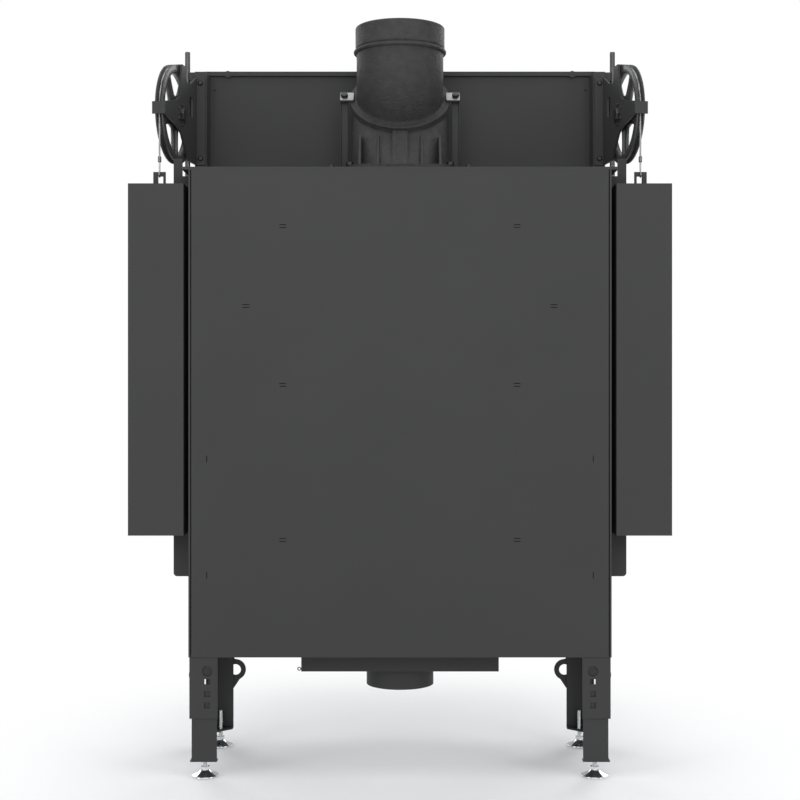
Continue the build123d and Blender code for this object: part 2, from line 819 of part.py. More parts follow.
# Door carriage: the outer frame that slides on the rods, and its two arms a side
hinge_s = leaf_front_s + hinge_barrel_radius
hinge_x = -(leaf_half + door_gap / 2)
barrel_zs = (hinge_low_z, hinge_high_z)
with BuildPart() as door_carriage:
    block(
        (-carriage_outer_half, carriage_outer_half),
        (leaf_back_s, leaf_front_s),
        (carriage_low, carriage_high),
    )
    block(
        (-carriage_inner_half, carriage_inner_half),
        (leaf_back_s, leaf_front_s),
        (leaf_low - door_gap, leaf_high + door_gap),
        mode=Mode.SUBTRACT,
    )
    for hand in (-1, 1):
        for arm_z in (arm_low_z, arm_high_z):
            arm_span = (arm_z, arm_z + arm_height)
            arm_rear_s = rope_front_s - rope_diameter * 2 if arm_z == arm_high_z else rod_s - bush_radius
            block(
                (hand * arm_inner_x, hand * carriage_outer_half),
                (arm_rear_s, leaf_front_s),
                arm_span,
            )
            block(
                (hand * carriage_outer_half, hand * (rod_x - rod_radius / 2)),
                (rod_s - bush_radius, rod_s + bush_radius),
                arm_span,
            )
            peg(point(hand * rod_x, rod_s, arm_span[0]), point(hand * rod_x, rod_s, arm_span[1]), bush_radius)
            peg(
                point(hand * rod_x, rod_s, arm_span[0]),
                point(hand * rod_x, rod_s, arm_span[1]),
                rod_radius + bush_clearance,
                Mode.SUBTRACT,
            )
        block(
            (hand * carriage_outer_half, hand * (rope_front_x + rope_diameter * 1.5)),
            (rope_front_s - rope_diameter * 2, rope_front_s + rope_diameter * 2),
            (rope_lug_z - rope_lug_height, rope_lug_z),
        )
    for barrel_z in barrel_zs:
        barrel_foot = point(hinge_x, hinge_s, barrel_z - hinge_barrel_length)
        peg(barrel_foot, point(hinge_x, hinge_s, barrel_z), hinge_barrel_radius)
        peg(
            point(hinge_x, hinge_s, barrel_z),
            point(hinge_x, hinge_s, barrel_z + hinge_barrel_length * 0.8),
            hinge_pin_radius,
        )
        block(
            (hinge_x - hinge_barrel_radius * 3, hinge_x),
            (leaf_front_s - 1, leaf_front_s + hinge_barrel_radius * 0.6),
            (barrel_z - hinge_barrel_length, barrel_z),
        )
        block(
            (hinge_x - door_gap / 2, hinge_x + hinge_barrel_radius),
            (leaf_front_s - 2, leaf_front_s),
            (barrel_z - hinge_barrel_length - 1, barrel_z + 1),
            mode=Mode.SUBTRACT,
        )
keep(door_carriage, "door_carriage")

# Door leaf: the glazed inner frame, rebated for the glass, turning on the carriage's pins
with BuildPart() as door_leaf:
    block((-leaf_half, leaf_half), (leaf_back_s, leaf_front_s), (leaf_low, leaf_high))
    block(
        (-leaf_half + leaf_border, leaf_half - leaf_border),
        (leaf_back_s, leaf_front_s),
        (leaf_low + leaf_border, leaf_high - leaf_border),
        mode=Mode.SUBTRACT,
    )
    block(
        (-leaf_half + leaf_rim, leaf_half - leaf_rim),
        (leaf_back_s, leaf_front_s - leaf_lip),
        (leaf_low + leaf_rim, leaf_high - leaf_rim),
        mode=Mode.SUBTRACT,
    )
    for barrel_z in barrel_zs:
        leaf_barrel_foot = point(hinge_x, hinge_s, barrel_z + running_gap)
        leaf_barrel_top = point(hinge_x, hinge_s, barrel_z + hinge_barrel_length)
        peg(leaf_barrel_foot, leaf_barrel_top, hinge_barrel_radius)
        block(
            (hinge_x + hinge_barrel_radius * 0.5, hinge_x + hinge_barrel_radius * 3.5),
            (leaf_front_s - 1, leaf_front_s + hinge_barrel_radius * 0.6),
            (barrel_z + running_gap, barrel_z + hinge_barrel_length),
        )
        peg(
            leaf_barrel_foot,
            point(hinge_x, hinge_s, barrel_z + hinge_barrel_length * 0.85),
            hinge_pin_radius + hinge_pin_clearance,
            Mode.SUBTRACT,
        )
keep(door_leaf, "door_leaf")

with BuildPart() as door_glass:
    glass_edge = leaf_rim + glass_clearance
    block(
        (-leaf_half + glass_edge, leaf_half - glass_edge),
        (leaf_front_s - leaf_lip - glass_thickness, leaf_front_s - leaf_lip),
        (leaf_low + glass_edge, leaf_high - glass_edge),
    )
keep(door_glass, "door_glass")

# Rope seal on the back of the leaf, a hair clear of the front frame
with BuildPart() as door_seal:
    seal_inset = (leaf_rim - seal_width) / 2
    seal_span = (leaf_back_s - seal_thickness, leaf_back_s)
    block(
        (-leaf_half + seal_inset, leaf_half - seal_inset),
        seal_span,
        (leaf_low + seal_inset, leaf_high - seal_inset),
    )
    seal_inner = seal_inset + seal_width
    block(
        (-leaf_half + seal_inner, leaf_half - seal_inner),
        seal_span,
        (leaf_low + seal_inner, leaf_high - seal_inner),
        mode=Mode.SUBTRACT,
    )
keep(door_seal, "door_seal")

# Handle bar on the bottom rail of the leaf
with BuildPart() as door_handle:
    handle_z = leaf_low + leaf_border / 2
    peg(
        point(-handle_width / 2, handle_s, handle_z),
        point(handle_width / 2, handle_s, handle_z),
        handle_radius,
    )
    for hand in (-1, 1):
        post_x = hand * (handle_width / 2 - 3 * handle_post_radius)
        peg(
            point(post_x, leaf_front_s, handle_z),
            point(post_x, handle_s, handle_z),
            handle_post_radius,
        )
keep(door_handle, "door_handle")

# The plane of the joint ring between the casting and the elbow, leaning back
ring_plane = Plane(
    origin=point(0, ring_s, ring_z),
    x_dir=(1, 0, 0),
    z_dir=(0, tilt_sin, tilt_cos),
)
bend_start = ring_plane.offset(bend_neck)
bend_middle = bend_start.origin - bend_start.y_dir * bend_radius

# Cast flue base: a flange on the top plate that rises into the tilted ring
neck_foot = Plane(origin=point(0, casting_s, top_of_plate), x_dir=(0, 1, 0), z_dir=(0, 0, 1))
neck_head = Plane(origin=ring_plane.origin, x_dir=ring_plane.y_dir, z_dir=ring_plane.z_dir)
with BuildPart() as flue_base:
    with BuildSketch(Plane.XY.offset(top_of_plate)):
        with Locations((0, y_at(casting_s))):
            RectangleRounded(casting_flange_width, casting_flange_depth, casting_corner)
    extrude(amount=casting_flange)
    with BuildSketch(neck_foot.offset(casting_flange - neck_overlap)):
        Circle(casting_radius)
    with BuildSketch(neck_head.offset(neck_overlap - base_ring)):
        Circle(casting_radius)
    loft()
    with BuildSketch(ring_plane.offset(-base_ring)):
        Circle(ring_radius_outer)
    extrude(amount=base_ring)
    rib_foot_s = casting_s - casting_flange_depth / 2 + rib_thickness
    rib_head_s = ring_s - casting_radius * tilt_cos
    for rib_x in rib_xs:
        with BuildSketch(Plane.YZ.offset(rib_x - rib_thickness / 2)):
            with BuildLine():
                Polyline(
                    (y_at(rib_foot_s), casting_top),
                    (y_at(rib_head_s - 6), casting_top + rib_rise),
                    (y_at(casting_s), casting_top + rib_rise),
                    (y_at(casting_s), casting_top),
                    close=True,
                )
            make_face()
        extrude(amount=rib_thickness)
    boss_top = ring_z - (casting_radius + base_ring) * tilt_sin
    with BuildSketch(Plane.YZ.offset(-boss_width / 2)):
        with BuildLine():
            Polyline(
                (y_at(rib_foot_s - rib_thickness / 2), casting_top),
                (y_at(ring_s - ring_radius_outer * tilt_cos), boss_top),
                (y_at(casting_s), boss_top),
                (y_at(casting_s), casting_top),
                close=True,
            )
        make_face()
    extrude(amount=boss_width)
    with BuildSketch(neck_foot.offset(-bore_overrun)):
        Circle(casting_bore_radius)
    with BuildSketch(neck_head.offset(bore_overrun)):
        Circle(casting_bore_radius)
    loft(mode=Mode.SUBTRACT)
keep(flue_base, "flue_base")

# Cast elbow that turns on the ring, from pointing up to pointing back
with BuildPart() as flue_elbow:
    with BuildSketch(ring_plane.offset(running_gap)):
        Circle(ring_radius_outer)
    extrude(amount=elbow_ring)
    with BuildSketch(ring_plane.offset(running_gap)):
        Circle(pipe_radius)
    extrude(amount=bend_neck - running_gap)
    with BuildSketch(bend_start):
        Circle(pipe_radius)
    revolve(axis=Axis(bend_middle, (1, 0, 0)), revolution_arc=outlet_tilt)
    with BuildSketch(Plane.XY.offset(bend_end_z)):
        with Locations((0, y_at(outlet_s))):
            Circle(pipe_radius)
    extrude(amount=collar_low - bend_end_z)
    with BuildSketch(Plane.XY.offset(collar_low)):
        with Locations((0, y_at(outlet_s))):
            Circle(collar_radius)
    extrude(amount=collar_top - collar_low)
    with Locations(point(0, outlet_s, bead_z)):
        Torus(bead_reach - bead_radius, bead_radius)
    with BuildSketch(ring_plane.offset(running_gap)):
        Circle(pipe_bore_radius)
    extrude(amount=bend_neck - running_gap, mode=Mode.SUBTRACT)
    with BuildSketch(bend_start):
        Circle(pipe_bore_radius)
    revolve(axis=Axis(bend_middle, (1, 0, 0)), revolution_arc=outlet_tilt, mode=Mode.SUBTRACT)
    with BuildSketch(Plane.XY.offset(bend_end_z)):
        with Locations((0, y_at(outlet_s))):
            Circle(pipe_bore_radius)
    extrude(amount=collar_top - bend_end_z, mode=Mode.SUBTRACT)
keep(flue_elbow, "flue_elbow")

# Two clamps that grip the elbow's ring, each on a strut from the casting's flange
clamp_low = running_gap + elbow_ring + running_gap
clamp_high = clamp_low + clamp_thickness
with BuildPart() as flue_clamps:
    for hand in (-1, 1):
        clamp_middle = hand * (clamp_inner_x + clamp_outer_x) / 2
        with BuildSketch(ring_plane.offset(clamp_low)):
            with Locations((clamp_middle, 0)):
                RectangleRounded(clamp_outer_x - clamp_inner_x, clamp_length, 3)
        extrude(amount=clamp_thickness)
        strut_inner = clamp_outer_x - strut_width
        strut_s = (ring_s - strut_depth, ring_s)
        strut_top = ring_z + clamp_low / tilt_cos
        block((hand * strut_inner, hand * clamp_outer_x), strut_s, (casting_top, strut_top))
keep(flue_clamps, "flue_clamps")

# Bolts of the flue outlet: on the clamps, on the casting's flange and on the top plate
with BuildPart() as flue_bolts:
    for hand in (-1, 1):
        with BuildSketch(ring_plane.offset(clamp_high)):
            with Locations((hand * clamp_bolt_x, 0)):
                RegularPolygon(hex_radius, 6)
        extrude(amount=hex_height)
        for bolt_s in flange_bolt_s:
            with BuildSketch(Plane.XY.offset(casting_top)):
                with Locations((hand * flange_bolt_x, y_at(bolt_s))):
                    RegularPolygon(hex_radius, 6)
            extrude(amount=hex_height)
        sleeve_foot = point(hand * plate_bolt_x, flange_bolt_s[0], top_of_plate)
        plate_seat = sleeve_foot + Vector(0, 0, plate_sleeve_height)
        peg(sleeve_foot, plate_seat, plate_sleeve_radius)
        dome(
            plate_seat,
            plate_seat + Vector(0, 0, round_head_height),
            round_head_radius,
            round_head_radius * 0.6,
        )
keep(flue_bolts, "flue_bolts")

# Air box hung under the base plate, open at the top, with a slot for the damper's bar
box_half_depth = air_box_depth / 2
with BuildPart() as air_box:
    block(
        (-air_box_half, air_box_half),
        (air_s - box_half_depth, air_s + box_half_depth),
        (air_box_bottom, body_bottom),
    )
    block(
        (-air_box_half + air_box_sheet, air_box_half - air_box_sheet),
        (air_s - box_half_depth + air_box_sheet, air_s + box_half_depth - air_box_sheet),
        (air_box_bottom + air_box_sheet, body_bottom),
        mode=Mode.SUBTRACT,
    )
    peg(
        point(0, air_s, air_box_bottom),
        point(0, air_s, air_box_bottom + air_box_sheet),
        spigot_radius - spigot_wall,
        Mode.SUBTRACT,
    )
    block(
        (-damper_bar_width, damper_travel + damper_bar_width),
        (air_s + box_half_depth - air_box_sheet, air_s + box_half_depth),
        (damper_low, damper_top + damper_bar_height + 2 * damper_gap),
        mode=Mode.SUBTRACT,
    )
    pull_z = damper_low + pull_rod_radius
    peg(
        point(air_box_half - air_box_sheet, pull_rod_s, pull_z),
        point(air_box_half, pull_rod_s, pull_z),
        pull_rod_radius + damper_gap,
        Mode.SUBTRACT,
    )
keep(air_box, "air_box")

with BuildPart() as air_spigot:
    peg(point(0, air_s, spigot_bottom), point(0, air_s, air_box_bottom), spigot_radius)
    peg(
        point(0, air_s, spigot_bottom),
        point(0, air_s, air_box_bottom),
        spigot_radius - spigot_wall,
        Mode.SUBTRACT,
    )
keep(air_spigot, "air_spigot")

# Damper: a plate over the air inlet, its bar to a knob below the door, and a side pull
with BuildPart() as air_damper:
    damper_front_s = air_s + spigot_radius + 4
    block(
        (-damper_width / 2, damper_width / 2),
        (pull_rod_s - 2 * pull_rod_radius, damper_front_s),
        (damper_low, damper_top),
    )
    bar_front_s = handle_s - damper_knob_length
    block(
        (-damper_bar_width / 2, damper_bar_width / 2),
        (damper_front_s - 30, bar_front_s),
        (damper_top, damper_top + damper_bar_height),
    )
    knob_z = damper_top + damper_bar_height / 2
    peg(
        point(0, bar_front_s - 1, knob_z),
        point(0, bar_front_s + damper_knob_length - 1, knob_z),
        damper_knob_radius,
    )
    eye_middle_x = air_box_half + pull_eye_radius + 2 * pull_eye_wire
    peg(
        point(damper_width / 2 - 10, pull_rod_s, pull_z),
        point(eye_middle_x - pull_eye_radius, pull_rod_s, pull_z),
        pull_rod_radius,
    )
    with Locations(Plane(origin=point(eye_middle_x, pull_rod_s, pull_z), z_dir=(0, 1, 0))):
        Torus(pull_eye_radius, pull_eye_wire)
keep(air_damper, "air_damper")

# Legs: an outer angle under the body, an inner angle bolted in it, and a levelling foot
sleeve_inner_x = sleeve_outer_x - sleeve_width
leg_inner_x = leg_outer_x - leg_width
leg_top = body_bottom - leg_sheet - leg_top_gap


def corner_s(s, at_front):
    """A depth measured from the rear face for a rear leg, and from the front face for a front one."""
    return body_depth - s if at_front else s


for row, at_front in (("rear", False), ("front", True)):
    web = (corner_s(sleeve_inset, at_front), corner_s(sleeve_inset + leg_sheet, at_front))
    leg_web_s = sleeve_inset + leg_sheet + leg_gap
    leg_web = (corner_s(leg_web_s, at_front), corner_s(leg_web_s + leg_sheet, at_front))
    sleeve_back = corner_s(sleeve_inset + leg_depth + leg_sheet, at_front)
    leg_back = corner_s(leg_web_s + leg_depth, at_front)
    foot_s = corner_s(foot_inset, at_front)
    for hand, mirrored in sides():
        with BuildPart() as leg_sleeve:
            block((sleeve_inner_x, sleeve_outer_x), web, (sleeve_low, body_bottom))
            block(
                (sleeve_outer_x - leg_sheet, sleeve_outer_x),
                (web[0], sleeve_back),
                (sleeve_low, body_bottom),
            )
            block(
                (sleeve_inner_x, sleeve_outer_x),
                (web[0], sleeve_back),
                (body_bottom - leg_sheet, body_bottom),
            )
            if at_front:
                with BuildSketch(Plane(origin=point(0, web[0], 0), x_dir=(1, 0, 0), z_dir=(0, -1, 0))):
                    with Locations((eye_x, eye_z)):
                        Circle(eye_radius)
                    with BuildLine():
                        Polyline(
                            (sleeve_inner_x + leg_sheet, eye_root_low),
                            (sleeve_inner_x - 1, eye_root_low),
                            (eye_x - eye_radius * 0.5, eye_z - eye_radius * 0.8),
                            (eye_x - eye_radius * 0.5, eye_z + eye_radius * 0.85),
                            (sleeve_inner_x + leg_sheet, eye_z + eye_radius * 1.1),
                            close=True,
                        )
                    make_face()
                extrude(amount=-leg_sheet)
                peg(
                    point(eye_x, web[0] + 1, eye_z),
                    point(eye_x, web[1] - 1, eye_z),
                    eye_hole_radius,
                    Mode.SUBTRACT,
                )
            for hole_z in leg_hole_zs:
                block(
                    (leg_bolt_x - leg_hole_side / 2, leg_bolt_x + leg_hole_side / 2),
                    web,
                    (hole_z - leg_hole_side / 2, hole_z + leg_hole_side / 2),
                    mode=Mode.SUBTRACT,
                )
            peg(
                point(leg_bolt_x, web[0], leg_bolt_z),
                point(leg_bolt_x, web[1], leg_bolt_z),
                leg_bolt_radius,
                Mode.SUBTRACT,
            )
            if mirrored:
                mirror(about=Plane.YZ, mode=Mode.REPLACE)
        keep(leg_sleeve, f"leg_sleeve_{row}_{hand}")

        with BuildPart() as leg_inner:
            block((leg_inner_x, leg_outer_x), leg_web, (leg_low, leg_top))
            block(
                (leg_outer_x - leg_sheet, leg_outer_x),
                (leg_web[0], leg_back),
                (leg_low, leg_top),
            )
            with BuildSketch(Plane.XY.offset(leg_low)):
                with BuildLine():
                    Polyline(
                        (leg_inner_x, y_at(leg_web[0])),
                        (sleeve_outer_x - 1, y_at(leg_web[0])),
                        (sleeve_outer_x - 1, y_at(leg_back)),
                        (foot_x + 2 * foot_rod_radius, y_at(leg_back)),
                        (leg_inner_x, y_at(corner_s(leg_web_s + 3.5 * foot_rod_radius, at_front))),
                        close=True,
                    )
                make_face()
            extrude(amount=leg_sheet)
            peg(
                point(foot_x, foot_s, leg_low),
                point(foot_x, foot_s, leg_low + leg_sheet),
                foot_rod_radius + foot_rod_gap,
                Mode.SUBTRACT,
            )
            block(
                (leg_bolt_x - leg_hole_side / 2, leg_bolt_x + leg_hole_side / 2),
                leg_web,
                (leg_hole_zs[0] - leg_hole_side / 2, leg_hole_zs[0] + leg_hole_side / 2),
                mode=Mode.SUBTRACT,
            )
            peg(
                point(leg_bolt_x, leg_web[0], leg_bolt_z),
                point(leg_bolt_x, leg_web[1], leg_bolt_z),
                leg_bolt_radius,
                Mode.SUBTRACT,
            )
            if mirrored:
                mirror(about=Plane.YZ, mode=Mode.REPLACE)
        keep(leg_inner, f"leg_inner_{row}_{hand}")

        with BuildPart() as levelling_foot:
            cone_top = foot_pad_height + foot_cone_height
            hex_top = cone_top + foot_hex_height
            peg(point(foot_x, foot_s, 0), point(foot_x, foot_s, foot_pad_height), foot_pad_radius)
            chamfer(levelling_foot.edges().group_by(Axis.Z)[-1], 2.5)
            with Locations(point(foot_x, foot_s, foot_pad_height)):
                Cone(
                    foot_pad_radius * 0.6,
                    foot_cone_top_radius,
                    foot_cone_height,
                    align=(Align.CENTER, Align.CENTER, Align.MIN),
                )
            with BuildSketch(Plane.XY.offset(cone_top)):
                with Locations((foot_x, y_at(foot_s))):
                    RegularPolygon(foot_hex_radius, 6)
            extrude(amount=foot_hex_height)
            peg(point(foot_x, foot_s, hex_top), point(foot_x, foot_s, foot_rod_top), foot_rod_radius)
            if mirrored:
                mirror(about=Plane.YZ, mode=Mode.REPLACE)
        keep(levelling_foot, f"levelling_foot_{row}_{hand}")

# Bolts of the legs and posts
with BuildPart() as frame_bolts:
    for at_front in (False, True):
        forward = -1 if at_front else 1
        bolt_face = corner_s(sleeve_inset, at_front)
        nut_face = bolt_face + forward * (2 * leg_sheet + leg_gap)
        bolt_seat = point(leg_bolt_x, bolt_face, leg_bolt_z)
        dome(
            bolt_seat,
            point(leg_bolt_x, bolt_face - forward * leg_bolt_head_height, leg_bolt_z),
            leg_bolt_head_radius,
            leg_bolt_head_radius * 0.7,
        )
        peg(bolt_seat, point(leg_bolt_x, nut_face + forward * leg_nut_height, leg_bolt_z), leg_bolt_radius)
        with BuildSketch(
            Plane(origin=point(0, nut_face, 0), x_dir=(1, 0, 0), z_dir=(0, -forward, 0))
        ):
            with Locations((leg_bolt_x, forward * leg_bolt_z)):
                RegularPolygon(leg_nut_radius, 6)
        extrude(amount=leg_nut_height)
        side_seat = point(sleeve_outer_x, corner_s(side_bolt_s, at_front), side_bolt_z)
        dome(side_seat, side_seat + Vector(side_bolt_head, 0, 0), hex_radius, hex_radius * 0.7)
    for bolt_z in (post_bolt_low_z, post_bolt_high_z):
        post_seat = point(post_inner_x + post_width / 2, post_rear_s - bracket_sheet, bolt_z)
        dome(post_seat, post_seat + Vector(0, 3, 0), hex_radius * 0.8, hex_radius * 0.5)
    mirror(about=Plane.YZ)
keep(frame_bolts, "frame_bolts")

# Small screws on the side panels and through the wall's cap
with BuildPart() as casing_screws:
    for screw_s in side_screw_s:
        for screw_z in side_screw_z:
            screw_seat = point(body_half, screw_s, screw_z)
            dome(screw_seat, screw_seat + Vector(screw_height, 0, 0), screw_radius, screw_radius * 0.6)
    cap_seat = point(cap_screw_x, cap_screw_s, cap_top)
    dome(cap_seat, cap_seat + Vector(0, 0, screw_height), screw_radius * 0.8, screw_radius * 0.5)
    peg(cap_seat - Vector(0, 0, cap_drop + 3 * screw_height), cap_seat, screw_hole_radius)
    mirror(about=Plane.YZ)
keep(casing_screws, "casing_screws")

rope_run = (pulley_z - rope_lug_z) + radians(180) * rope_line_radius + (pulley_z - ring_middle)
print(f"each wire rope, lug to hanger: {rope_run:.0f} mm, bend radius {rope_line_radius} mm")
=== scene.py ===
import json
import math

import bpy
import numpy as np
from bpy.props import FloatProperty, FloatVectorProperty, IntProperty, PointerProperty
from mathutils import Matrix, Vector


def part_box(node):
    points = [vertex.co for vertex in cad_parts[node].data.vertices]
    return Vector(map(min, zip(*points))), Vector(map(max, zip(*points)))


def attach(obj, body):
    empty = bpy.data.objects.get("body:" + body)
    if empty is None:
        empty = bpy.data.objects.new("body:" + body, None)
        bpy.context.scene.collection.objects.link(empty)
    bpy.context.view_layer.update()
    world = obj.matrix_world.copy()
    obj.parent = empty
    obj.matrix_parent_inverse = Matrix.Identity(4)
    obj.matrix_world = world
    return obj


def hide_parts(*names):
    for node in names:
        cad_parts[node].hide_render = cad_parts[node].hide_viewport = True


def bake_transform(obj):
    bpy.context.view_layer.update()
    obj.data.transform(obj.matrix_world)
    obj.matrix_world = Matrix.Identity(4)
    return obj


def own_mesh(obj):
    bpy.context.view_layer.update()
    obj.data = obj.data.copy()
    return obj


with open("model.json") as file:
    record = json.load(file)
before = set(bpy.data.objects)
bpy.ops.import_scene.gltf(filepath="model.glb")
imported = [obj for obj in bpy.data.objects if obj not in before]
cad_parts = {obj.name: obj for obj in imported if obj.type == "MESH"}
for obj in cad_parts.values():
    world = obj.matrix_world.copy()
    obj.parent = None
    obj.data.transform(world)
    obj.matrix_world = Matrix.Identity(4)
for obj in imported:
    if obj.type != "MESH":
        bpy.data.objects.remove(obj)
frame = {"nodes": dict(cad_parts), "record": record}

bl_info = {
    "name": "Fireplace insert surfaces",
    "version": (1, 0, 0),
    "blender": (4, 5, 0),
    "location": "3D View > Sidebar > Insert",
    "description": "Makes the castings, wheels, ropes, feet, bricks and finishes of a fireplace insert",
    "category": "Object",
}

HANDS = (("right", 1.0), ("left", -1.0))
FEET = tuple((row, hand) for row in ("rear", "front") for hand in ("right", "left"))
SHARP_ANGLE = math.radians(40)
NOISE_MIDDLE = (0.3, 0.7)
GLOSS_CHANGE = 0.07
LEAST_ROUGH = 0.02


def length(name, description, default):
    """A length property in metres."""
    return FloatProperty(
        name=name, description=description, default=default, subtype="DISTANCE", unit="LENGTH"
    )


def angle(name, description, default):
    """An angle property, stored in radians."""
    return FloatProperty(
        name=name, description=description, default=default, subtype="ANGLE", unit="ROTATION"
    )


def whole(name, description, default, least):
    """A whole number property."""
    return IntProperty(name=name, description=description, default=default, min=least)


def spot(name, description, default):
    """A point property in metres."""
    return FloatVectorProperty(
        name=name, description=description, default=default, size=3, subtype="XYZ", unit="LENGTH"
    )


def shade(name, description, default):
    """A colour property."""
    return FloatVectorProperty(
        name=name, description=description, default=default, size=3, subtype="COLOR", min=0.0, max=1.0
    )


# Surfaces as whole arrays


class Skin:
    """Collects grids of points into one closed mesh."""

    def __init__(self):
        self.points = []
        self.faces = []
        self.kinds = []
        self.kind = 0
        self.count = 0

    def add_points(self, points):
        """Adds an array of points and returns the number of its first one."""
        first = self.count
        self.points.append(np.asarray(points, float).reshape(-1, 3))
        self.count += len(self.points[-1])
        return first

    def grid(self, points, wrap_rows=False, wrap_columns=True, flip=False, cap_start=False, cap_end=False):
        """Joins neighbouring points of a rows by columns grid with four-sided faces.

        A wrapped direction joins its last line to its first. A cap closes the first or last row with one
        flat face.
        """
        rows, columns = points.shape[:2]
        first = self.add_points(points)
        number = first + np.arange(rows * columns).reshape(rows, columns)
        low = np.arange(rows if wrap_rows else rows - 1)
        side = np.arange(columns if wrap_columns else columns - 1)
        i, j = np.meshgrid(low, side, indexing="ij")
        a, b = number[i, j], number[i, (j + 1) % columns]
        c, d = number[(i + 1) % rows, (j + 1) % columns], number[(i + 1) % rows, j]
        quads = np.stack((a, d, c, b) if flip else (a, b, c, d), axis=-1).reshape(-1, 4)
        self.faces.extend(quads.tolist())
        start, end = number[0].tolist(), number[-1].tolist()
        if cap_start:
            self.faces.append(start if flip else start[::-1])
        if cap_end:
            self.faces.append(end[::-1] if flip else end)
        self.kinds.extend([self.kind] * (len(self.faces) - len(self.kinds)))

    def finish(self, name, *materials):
        """Makes the mesh object at the origin.

        A face takes the material with the number that was set as it was added.
        """
        mesh = bpy.data.meshes.new(name)
        mesh.from_pydata(np.concatenate(self.points).tolist(), [], self.faces)
        for material in materials:
            mesh.materials.append(material)
        self.kinds.extend([self.kind] * (len(self.faces) - len(self.kinds)))
        mesh.polygons.foreach_set("material_index", self.kinds)
        mesh.validate()
        mesh.polygons.foreach_set("use_smooth", np.ones(len(mesh.polygons), bool))
        mesh.set_sharp_from_angle(angle=SHARP_ANGLE)
        mesh.update()
        piece = bpy.data.objects.new(name, mesh)
        bpy.context.scene.collection.objects.link(piece)
        return piece


def unit(vector):
    """The vector scaled to length one, along the last axis."""
    vector = np.asarray(vector, float)
    return vector / np.linalg.norm(vector, axis=-1, keepdims=True)


def full_turn(steps):
    """Equal angles once round, without the last."""
    return np.linspace(0, 2 * math.pi, steps, endpoint=False)


def square_to(axis):
    """Two directions at right angles to the axis and to each other."""
    axis = unit(axis)
    helper = np.array((0.0, 0.0, 1.0)) if abs(axis[2]) < 0.9 else np.array((1.0, 0.0, 0.0))
    first = unit(np.cross(helper, axis))
    return first, np.cross(axis, first)


def turned(profile, origin, axis, steps):
    """A profile of (radius, height) pairs turned about an axis: radius times cosine and sine across it,
    height along it.
    """
    profile = np.asarray(profile, float)
    first, second = square_to(axis)
    turn = full_turn(steps)
    ring = np.cos(turn)[:, None] * first + np.sin(turn)[:, None] * second
    return np.asarray(origin) + profile[:, :1, None] * ring + profile[:, 1:, None] * unit(axis)


def rounded(corners, radius, steps=5):
    """A closed outline with each corner replaced by an arc of the radius, or less where the sides are
    short.
    """
    corners = np.asarray(corners, float)
    before, after = np.roll(corners, 1, 0), np.roll(corners, -1, 0)
    arcs = []
    for here, back, ahead in zip(corners, before, after):
        to_back, to_ahead = back - here, ahead - here
        reach = min(radius, np.linalg.norm(to_back) / 2.05, np.linalg.norm(to_ahead) / 2.05)
        start, end = here + unit(to_back) * reach, here + unit(to_ahead) * reach
        part = np.linspace(0, 1, steps)[:, None]
        arcs.append((1 - part) ** 2 * start + 2 * part * (1 - part) * here + part ** 2 * end)
    return np.concatenate(arcs)


def carried(path, closed=False):
    """Two directions square to a path at each of its points, carried along it without twist."""
    if closed:
        along = np.roll(path, -1, 0) - np.roll(path, 1, 0)
    else:
        along = np.gradient(path, axis=0)
    along = unit(along)
    first = np.zeros_like(along)
    side = square_to(along[0])[0]
    for index, direction in enumerate(along):
        side = unit(side - direction * side.dot(direction))
        first[index] = side
    return first, np.cross(along, first)


def tube(path, radius, steps, closed=False):
    """A round tube: the circle of the radius carried along the path, square to it at every point."""
    path = np.asarray(path, float)
    first, second = carried(path, closed)
    turn = full_turn(steps)
    ring = np.cos(turn)[None, :, None] * first[:, None] + np.sin(turn)[None, :, None] * second[:, None]
    return path[:, None] + radius * ring


def slab(low, high, radius, thin, steps=4):
    """A block with rounded edges: its outline is drawn in as a quarter circle at both faces across the
    thin axis.
    """
    low, high = np.asarray(low, float), np.asarray(high, float)
    wide, tall = [axis for axis in range(3) if axis != thin]
    radius = min(radius, (high[thin] - low[thin]) / 2.1)
    quarter = np.linspace(0, math.pi / 2, steps + 1)
    inset = radius * (1 - np.sin(quarter))
    depth = radius * (1 - np.cos(quarter))
    insets = np.concatenate((inset, inset[::-1]))
    heights = np.concatenate((low[thin] + depth, high[thin] - depth[::-1]))
    rings = []
    for draw, height in zip(insets, heights):
        a, b = low[[wide, tall]] + draw, high[[wide, tall]] - draw
        outline = rounded(((a[0], a[1]), (b[0], a[1]), (b[0], b[1]), (a[0], b[1])), radius * 2, steps)
        ring = np.zeros((len(outline), 3))
        ring[:, wide], ring[:, tall], ring[:, thin] = outline[:, 0], outline[:, 1], height
        rings.append(ring)
    return np.array(rings)


def add_slab(skin, low, high, radius, thin):
    """Adds a rounded block with its faces turned outward."""
    skin.grid(slab(low, high, radius, thin), cap_start=True, cap_end=True, flip=thin == 1)


def hexagon_prism(skin, origin, axis, radius, height, edge):
    """A six-sided nut or head: a hexagon drawn in at both ends by the worn edge."""
    first, second = square_to(axis)
    turn = np.arange(6) * math.pi / 3
    corner = np.cos(turn)[:, None] * first + np.sin(turn)[:, None] * second
    radii = np.array((radius - edge, radius, radius, radius - edge))
    heights = np.array((0, edge, height - edge, height))
    rings = np.asarray(origin) + radii[:, None, None] * corner + heights[:, None, None] * unit(axis)
    skin.grid(rings, cap_start=True, cap_end=True)


# Finishes


def link(tree, out_node, out_name, in_node, in_name):
    """Joins two sockets by name or number."""
    tree.links.new(out_node.outputs[out_name], in_node.inputs[in_name])


